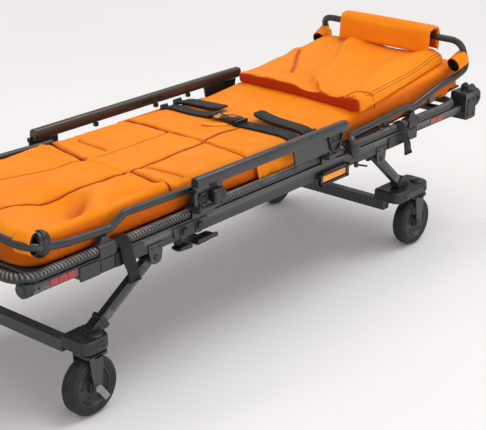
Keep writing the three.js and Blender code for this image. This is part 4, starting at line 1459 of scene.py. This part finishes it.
def pad_relief(x, y):
    """The dished pad: a sharp far ridge, a full near side and a lifted, wavy front."""
    far_gap, far_side = line_distance(x, y, RIDGE_FAR)
    near_gap, near_side = line_distance(x, y, RIDGE_NEAR)
    beyond = far_side < 0
    rise = 16 * np.exp(-(far_gap / np.where(beyond, 13, 52)) ** 2)
    rise -= 7 * np.exp(-((far_gap - 38) / 22) ** 2) * beyond
    rise += 17 * np.exp(-(near_gap / np.where(near_side > 0, 50, 34)) ** 2)
    rise -= 5 * bell(y, -40, 80) * ease(x, 440, 560)
    front = front_gap(x, y)
    rise += 10 * bell(front, 4, 46) + 3 * np.sin(y / 58 + 0.6) * bell(front, 0, 70)
    for line, depth, width, *_ in PAD_CREASES:
        rise -= depth * groove(x, y, line, width)
    rise += 6 * groove(x, y - 20, PAD_PLEAT, 16)
    back = -5 * ease(x, 830, 905)
    return rise + back + 1.2 * soft_noise(x, y, 48, 1.9) + 0.6 * soft_noise(x, y, 19, 0.2)


def make_back_pad():
    radii = (26, 34, 30, 16)
    plan = rounded([(x, y, r) for (x, y), r in zip(PAD["corners"], radii)], 0, 8)
    low = MATTRESS["z1"] - 1
    shape = prism(plan, "z", low, low + PAD["thick"] + 5)
    made = cushion("back_pad_cover", shape, 5, lambda x, y, z: z < low + 5, 4.0, 3.5, (6, 3))
    x, y, z = (points_of(made.data) / MM).T
    lift = ease(z, low + 2, low + 17)
    crease_shade = np.zeros(len(x))
    for line, _, _, width, strength in PAD_CREASES:
        crease_shade = np.maximum(crease_shade, strength * lift * groove(x, y, line, width))
    z = z + lift * pad_relief(x, y) + 5 * (1 - (y / MATTRESS["y"]) ** 2)
    set_points(made.data, lean(np.stack([x, y, z], axis=1) * MM))
    # The front face, turned from the light, takes the dark red fold colour: a dark hem, and painted shade.
    facing = np.array([v.normal.x for v in made.data.vertices])
    hem_shade = ease(-facing, 0.4, 0.75) * (1 - ease(front_gap(x, y), 12, 20))
    dressed(made, np.maximum(crease_shade, 0.92 * hem_shade), "back_pad")
    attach(made, "backrest")
    return made


back_pad = make_back_pad()
pad_surface = surface_of(back_pad)
for number, inset in enumerate((9, 17)):
    seam_cord(f"pad_stitch_near_{number}", along_edge(0, 1, inset), 0.8, pad_surface, "backrest")
seam_cord("pad_stitch_far", along_edge(3, 2, 12), 0.7, pad_surface, "backrest")
# The corner cord lies in the pad's corner crease: painted shade.
seam_cord("pad_stitch_corner", PAD_CORNER, 1.0, pad_surface, "backrest")


# ---- head roll ----
def roll_line(y, out=0.0):
    """The folded cushion's middle line over the head bar at one place along it."""
    points = [(-38, -56), (-33, -30), (-31, 0), (-29, 18), (-20, 28), (-6, 31), (8, 30), (20, 24), (26, 8),
              (25, -20), (21, -46)]
    size = 1 + out / 31
    return spaced([Vector((HEAD_BAR["x"] + a * size, y, HEAD_BAR["z"] + b * size)) for a, b in points], 5)


def make_head_roll():
    """A thin cushion folded over the head bar, its two flaps hanging down."""
    bar = HEAD_BAR
    middle = roll_line(0)
    section = rounded([(-180, -6.5), (180, -6.5), (180, 6.5), (-180, 6.5)], 6, 4)

    def held(x, _, z):
        return np.hypot(x - bar["x"], z - bar["z"]) < 17

    made = cushion("head_roll_cover", swept(middle, section, (0, 1, 0)), 4.5, held, 3.0, 5)
    x, y, z = (points_of(made.data) / MM).T
    dx, dz = x - bar["x"], z - bar["z"]
    # the inside of the fold round the bar gets painted shade
    inside_shade = ease(dx, -31, -26) * (1 - ease(dx, 17, 22)) * (1 - ease(dz, 20, 26))
    dressed(made, 0.85 * inside_shade, "head_roll")
    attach(made, "backrest")


make_head_roll()
for side, s in SIDES.items():
    piece(f"head_roll_piping_{side}", tube(roll_line(s * 180.5, 3), 1.5, 10), PIPING, "backrest")


# ---- safety belt ----
def belt_strip(name, line, width, thickness, lift, curl=(0.0, 0.0), material=WEBBING):
    """A padded strip laid on the mattress along a plan line; curl lifts its first and last ends."""
    route = laid_line(line, 5, mattress_surface, lift)
    count = len(route) - 1
    for i, p in enumerate(route):
        p.z += curl[0] * (1 - i / count) ** 4 + curl[1] * (i / count) ** 4

    def swell(i):
        t = min(1.0, (min(i, count - i) + 0.4) / 3)
        return math.sqrt(1 - 0.75 * (1 - t) ** 2)

    across = Vector((route[-1] - route[0])).normalized().cross(Vector((0, 0, 1)))
    section = [(u, v + 0.0016 * u * u) for u, v in flat_section(width, thickness, 4)]
    return piece(name, swept(route, section, tuple(across), swell), material, "chassis", slot="webbing")


far_under = belt_strip("belt_far_lower", [(44, 258), (38, 190), (33, 120), (44, 48)], 46, 7, 5)
belt_strip("belt_far_upper", [(104, 258), (108, 200), (108, 130), (100, 62)], 52, 8, 9, (0, 7))
belt_strip("belt_near_lower", [(34, -40), (42, -90), (50, -170), (56, -258)], 52, 7, 5)
belt_strip("belt_near_upper", [(112, -62), (112, -120), (116, -190), (124, -258)], 54, 8, 9, (15, 0))
belt_strip("belt_cover_flap", [(-46, 18), (-22, -6), (12, -30)], 24, 3, 2, (3, 0), PIPING)
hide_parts("safety_belt")


BUCKLE_X, BUCKLE_Y = 38, 2
BUCKLE_Z = drop(BUCKLE_X, BUCKLE_Y, mattress_surface) + 4


def buckle_plate(corners, radius, low, high):
    """A rounded plate, with its corners and heights measured from the buckle's middle."""
    outline = rounded([(BUCKLE_X + a, BUCKLE_Y + b) for a, b in corners], radius)
    return prism(outline, "z", BUCKLE_Z + low, BUCKLE_Z + high)


def buckle_block(x, y, z):
    """A rounded block, measured from the buckle's middle."""
    places = zip((x, y, z), (BUCKLE_X, BUCKLE_Y, BUCKLE_Z))
    return block(*((low + middle, high + middle) for (low, high), middle in places), 3)


# the push-button body with its bezel, the slotted tongue and the webbing bars behind it
buckle = merged(
    buckle_plate([(-22, -52), (24, -56), (28, -6), (-18, -2)], 8, 0, 13),
    buckle_plate([(-14, -44), (16, -47), (19, -14), (-11, -11)], 6, 12, 15),
    buckle_plate([(-16, -6), (24, -8), (30, 34), (-22, 38)], 7, 3, 8),
    *(buckle_block((-26, 32), (a, a + 7), (6, 13)) for a in (26, 40)),
    buckle_block((-24, 28), (-66, -58), (2, 12)),
)
button = buckle_plate([(-9, -39), (12, -41), (14, -20), (-7, -18)], 5, 14, 17)
tabs = merged(*(buckle_block((a, a + 13), (b, b + 16), (7, 12)) for a, b in ((-24, 8), (-6, 16), (14, 8))))
piece("belt_buckle", buckle, BLACK_PLASTIC, "chassis", 1.4)
piece("belt_buckle_button", button, RED_BUTTON, "chassis", 1.0)
piece("belt_buckle_tabs", tabs, ORANGE_GRIP, "chassis", 1.0, slot="black_plastic")


# ---- webbing loops on the tubes ----
def band(centre, axis, width, radius, thickness, tall=1.0):
    """A closed band round an axis: radius is across, and tall stretches it upwards."""
    run = Vector(axis).normalized()
    u = run.cross(Vector((0, 0, 1))).normalized()
    v = u.cross(run)
    points, faces = [], []
    section = flat_section(width, thickness, 2)
    rows, count = len(section), 44
    for k in range(count):
        a = 2 * math.pi * k / count
        out = (u * math.cos(a) + v * math.sin(a)).normalized()
        spot = Vector(centre) + u * (math.cos(a) * radius) + v * (math.sin(a) * radius * tall)
        points += [tuple(spot + run * p + out * q) for p, q in section]
        n = (k + 1) % count
        for j in range(rows):
            m = (j + 1) % rows
            faces.append([k * rows + j, k * rows + m, n * rows + m, n * rows + j])
    return points, faces


def direction(route, at):
    """Which way the route runs at its point nearest to a place."""
    nearest = min(range(len(route)), key=lambda i: (route[i] - Vector(at)).length)
    i = max(3, min(len(route) - 4, nearest))
    return route[i + 3] - route[i - 3]


def lined_loop(name, centre, axis, width, radius, tall, body):
    """An orange webbing loop with a black lining that shows at its open ends."""
    piece(name, band(centre, axis, width, radius, 3.4, tall), ORANGE, body)
    piece(f"{name}_lining", band(centre, axis, width + 5, radius - 3, 2.4, tall), WEBBING, body)


for side, s in SIDES.items():
    spot = (886, s * 279, 563)
    lined_loop(f"head_tube_loop_{side}", spot, (0.93, s * 0.1, 0.36), 52, 23, 1.08, "backrest")
    spot = (-950, s * 242, 496)
    lined_loop(f"foot_tube_loop_{side}", spot, direction(foot_route, spot), 46, 20, 1.45, "chassis")
    spot = (-926, s * 264, 490)
    turn = direction(foot_route, spot)
    clip = merged(band(spot, turn, 34, 18, 13, 1.35), band(spot, turn, 13, 25, 4, 1.3))
    piece(f"foot_tube_clip_{side}", clip, BLACK_PLASTIC, "chassis", 0.8)


# ---- hanging webbing tails ----
def hanging_tail(name, s, x, width, drops):
    """A webbing tail hung over the rail, doubled back at its end; drops are (x shift, out, z) down it."""
    y = s * (BEAM["y1"] + 12)
    corners = [(x, s * 272, 436, 0), (x, s * 284, 440.5, 8)]
    corners += [(x + a, y + s * b, c, 14 if i else 10) for i, (a, b, c) in enumerate(drops)]
    last = corners[-1]
    corners.append((last[0] + 3, last[1] - s * 7, last[2] + 5, 4))
    corners.append((last[0] - 8, last[1] - s * 5, last[2] + 44))
    route = spaced(bent(corners, 3), 4)
    count = len(route)
    shape = swept(route, flat_section(width, 2.8), (1, 0, 0), lambda i: 1 - 0.22 * i / count)
    piece(name, shape, WEBBING, "chassis")


for side, s in SIDES.items():
    hanging_tail(f"foot_webbing_tail_{side}", s, -688, 42,
                 [(0, 2, 424), (6, 4, 385), (20, 7, 345), (30, 2, 312)])
    hanging_tail(f"head_webbing_tail_{side}", s, 534, 34,
                 [(0, 2, 424), (12, 4, 400), (16, 12, 368), (36, 4, 330)])


# ---- side flap of the cover ----
FLAP = {"x0": -146, "x1": 126, "top": 489, "step": 6}


def make_side_flap(name, s):
    """A loose flap of cover cloth, sewn along its top and hanging with a wavy lower edge."""
    columns = int((FLAP["x1"] - FLAP["x0"]) / FLAP["step"]) + 1
    rows = 14
    points, faces = [], []
    for i in range(columns):
        along = i / (columns - 1)
        x = FLAP["x0"] + i * FLAP["step"]
        low = 419 - 10 * along + 4.5 * math.sin(along * 9) + 5 * math.exp(-(along / 0.06) ** 2)
        for k in range(rows):
            down = k / (rows - 1)
            z = FLAP["top"] + (low - FLAP["top"]) * down
            wave = 2.6 * math.sin(along * 15 + 1.1) + 1.4 * math.sin(along * 37 + down * 2)
            out = 269.5 + 2.2 * down + wave * down ** 1.5 + 3 * math.exp(-(along / 0.05) ** 2) * down
            points.append((x + 7 * down * (1 - along), s * out, z))
    for i in range(columns - 1):
        for k in range(rows - 1):
            a = i * rows + k
            faces.append([a, a + 1, a + rows + 1, a + rows])
    made = piece(name, (points, faces), ORANGE, "chassis")
    crease_values(made, np.zeros(len(points)))
    thick = made.modifiers.new("cloth_thickness", "SOLIDIFY")
    thick.thickness = 2.2 * MM
    thick.offset = 0
    return made


for side, s in SIDES.items():
    flap = make_side_flap(f"cover_side_flap_{side}", s)
    rivet = bolt((-108, s * 272.5, 433), "y", 4.2, s * 3)
    stud = piece(f"cover_flap_stud_{side}", rivet, STEEL, "chassis")

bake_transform(mattress)


# ---- studio ----
FILL = {"colour": (1.0, 0.96, 0.95), "strength": 0.7}
KEY = {"towards": (-0.4, 0.16, -0.85), "colour": (0.98, 1.0, 1.0), "strength": 1.08, "softness": 36}
SOFTBOXES = [
    ("overhead_strip", (0.2, 0.7, 2.6), (0, 0, 0.4), (3.6, 0.35), 12),
    ("side_softbox", (-0.3, -3.4, 0.9), (0, 0, 0.4), (3.2, 0.8), 24),
]


def make_studio():
    mesh = bpy.data.meshes.new("studio_floor")
    reach = 30
    mesh.from_pydata([(-reach, -reach, 0), (reach, -reach, 0), (reach, reach, 0), (-reach, reach, 0)], [],
                     [(0, 1, 2, 3)])
    floor = bpy.data.objects.new("studio_floor", mesh)
    bpy.context.scene.collection.objects.link(floor)
    f = Finish("pale_studio_floor", 0.95, 0.0, Specular_IOR_Level=0.15)
    clouding = f.ramp(f.noise(0.6), [(0.3, (0.84, 0.835, 0.83)), (0.7, (0.86, 0.855, 0.85))])
    mesh.materials.append(f.paint(clouding))
    world = bpy.data.worlds.new("studio_world")
    world.use_nodes = True
    world.node_tree.nodes["Background"].inputs["Color"].default_value = (*FILL["colour"], 1)
    world.node_tree.nodes["Background"].inputs["Strength"].default_value = FILL["strength"]
    bpy.context.scene.world = world
    sun = bpy.data.lights.new("soft_key", "SUN")
    sun.energy = KEY["strength"]
    sun.color = KEY["colour"]
    sun.angle = math.radians(KEY["softness"])
    key = bpy.data.objects.new("soft_key", sun)
    key.rotation_euler = Vector(KEY["towards"]).to_track_quat("-Z", "Y").to_euler()
    bpy.context.scene.collection.objects.link(key)
    for name, at, aim, size, power in SOFTBOXES:
        data = bpy.data.lights.new(name, "AREA")
        data.shape = "RECTANGLE"
        data.size, data.size_y = size
        data.energy = power
        box = bpy.data.objects.new(name, data)
        box.location = at
        box.rotation_euler = (Vector(aim) - Vector(at)).to_track_quat("-Z", "Y").to_euler()
        bpy.context.scene.collection.objects.link(box)
    bpy.context.scene.view_settings.view_transform = "Standard"


make_studio()
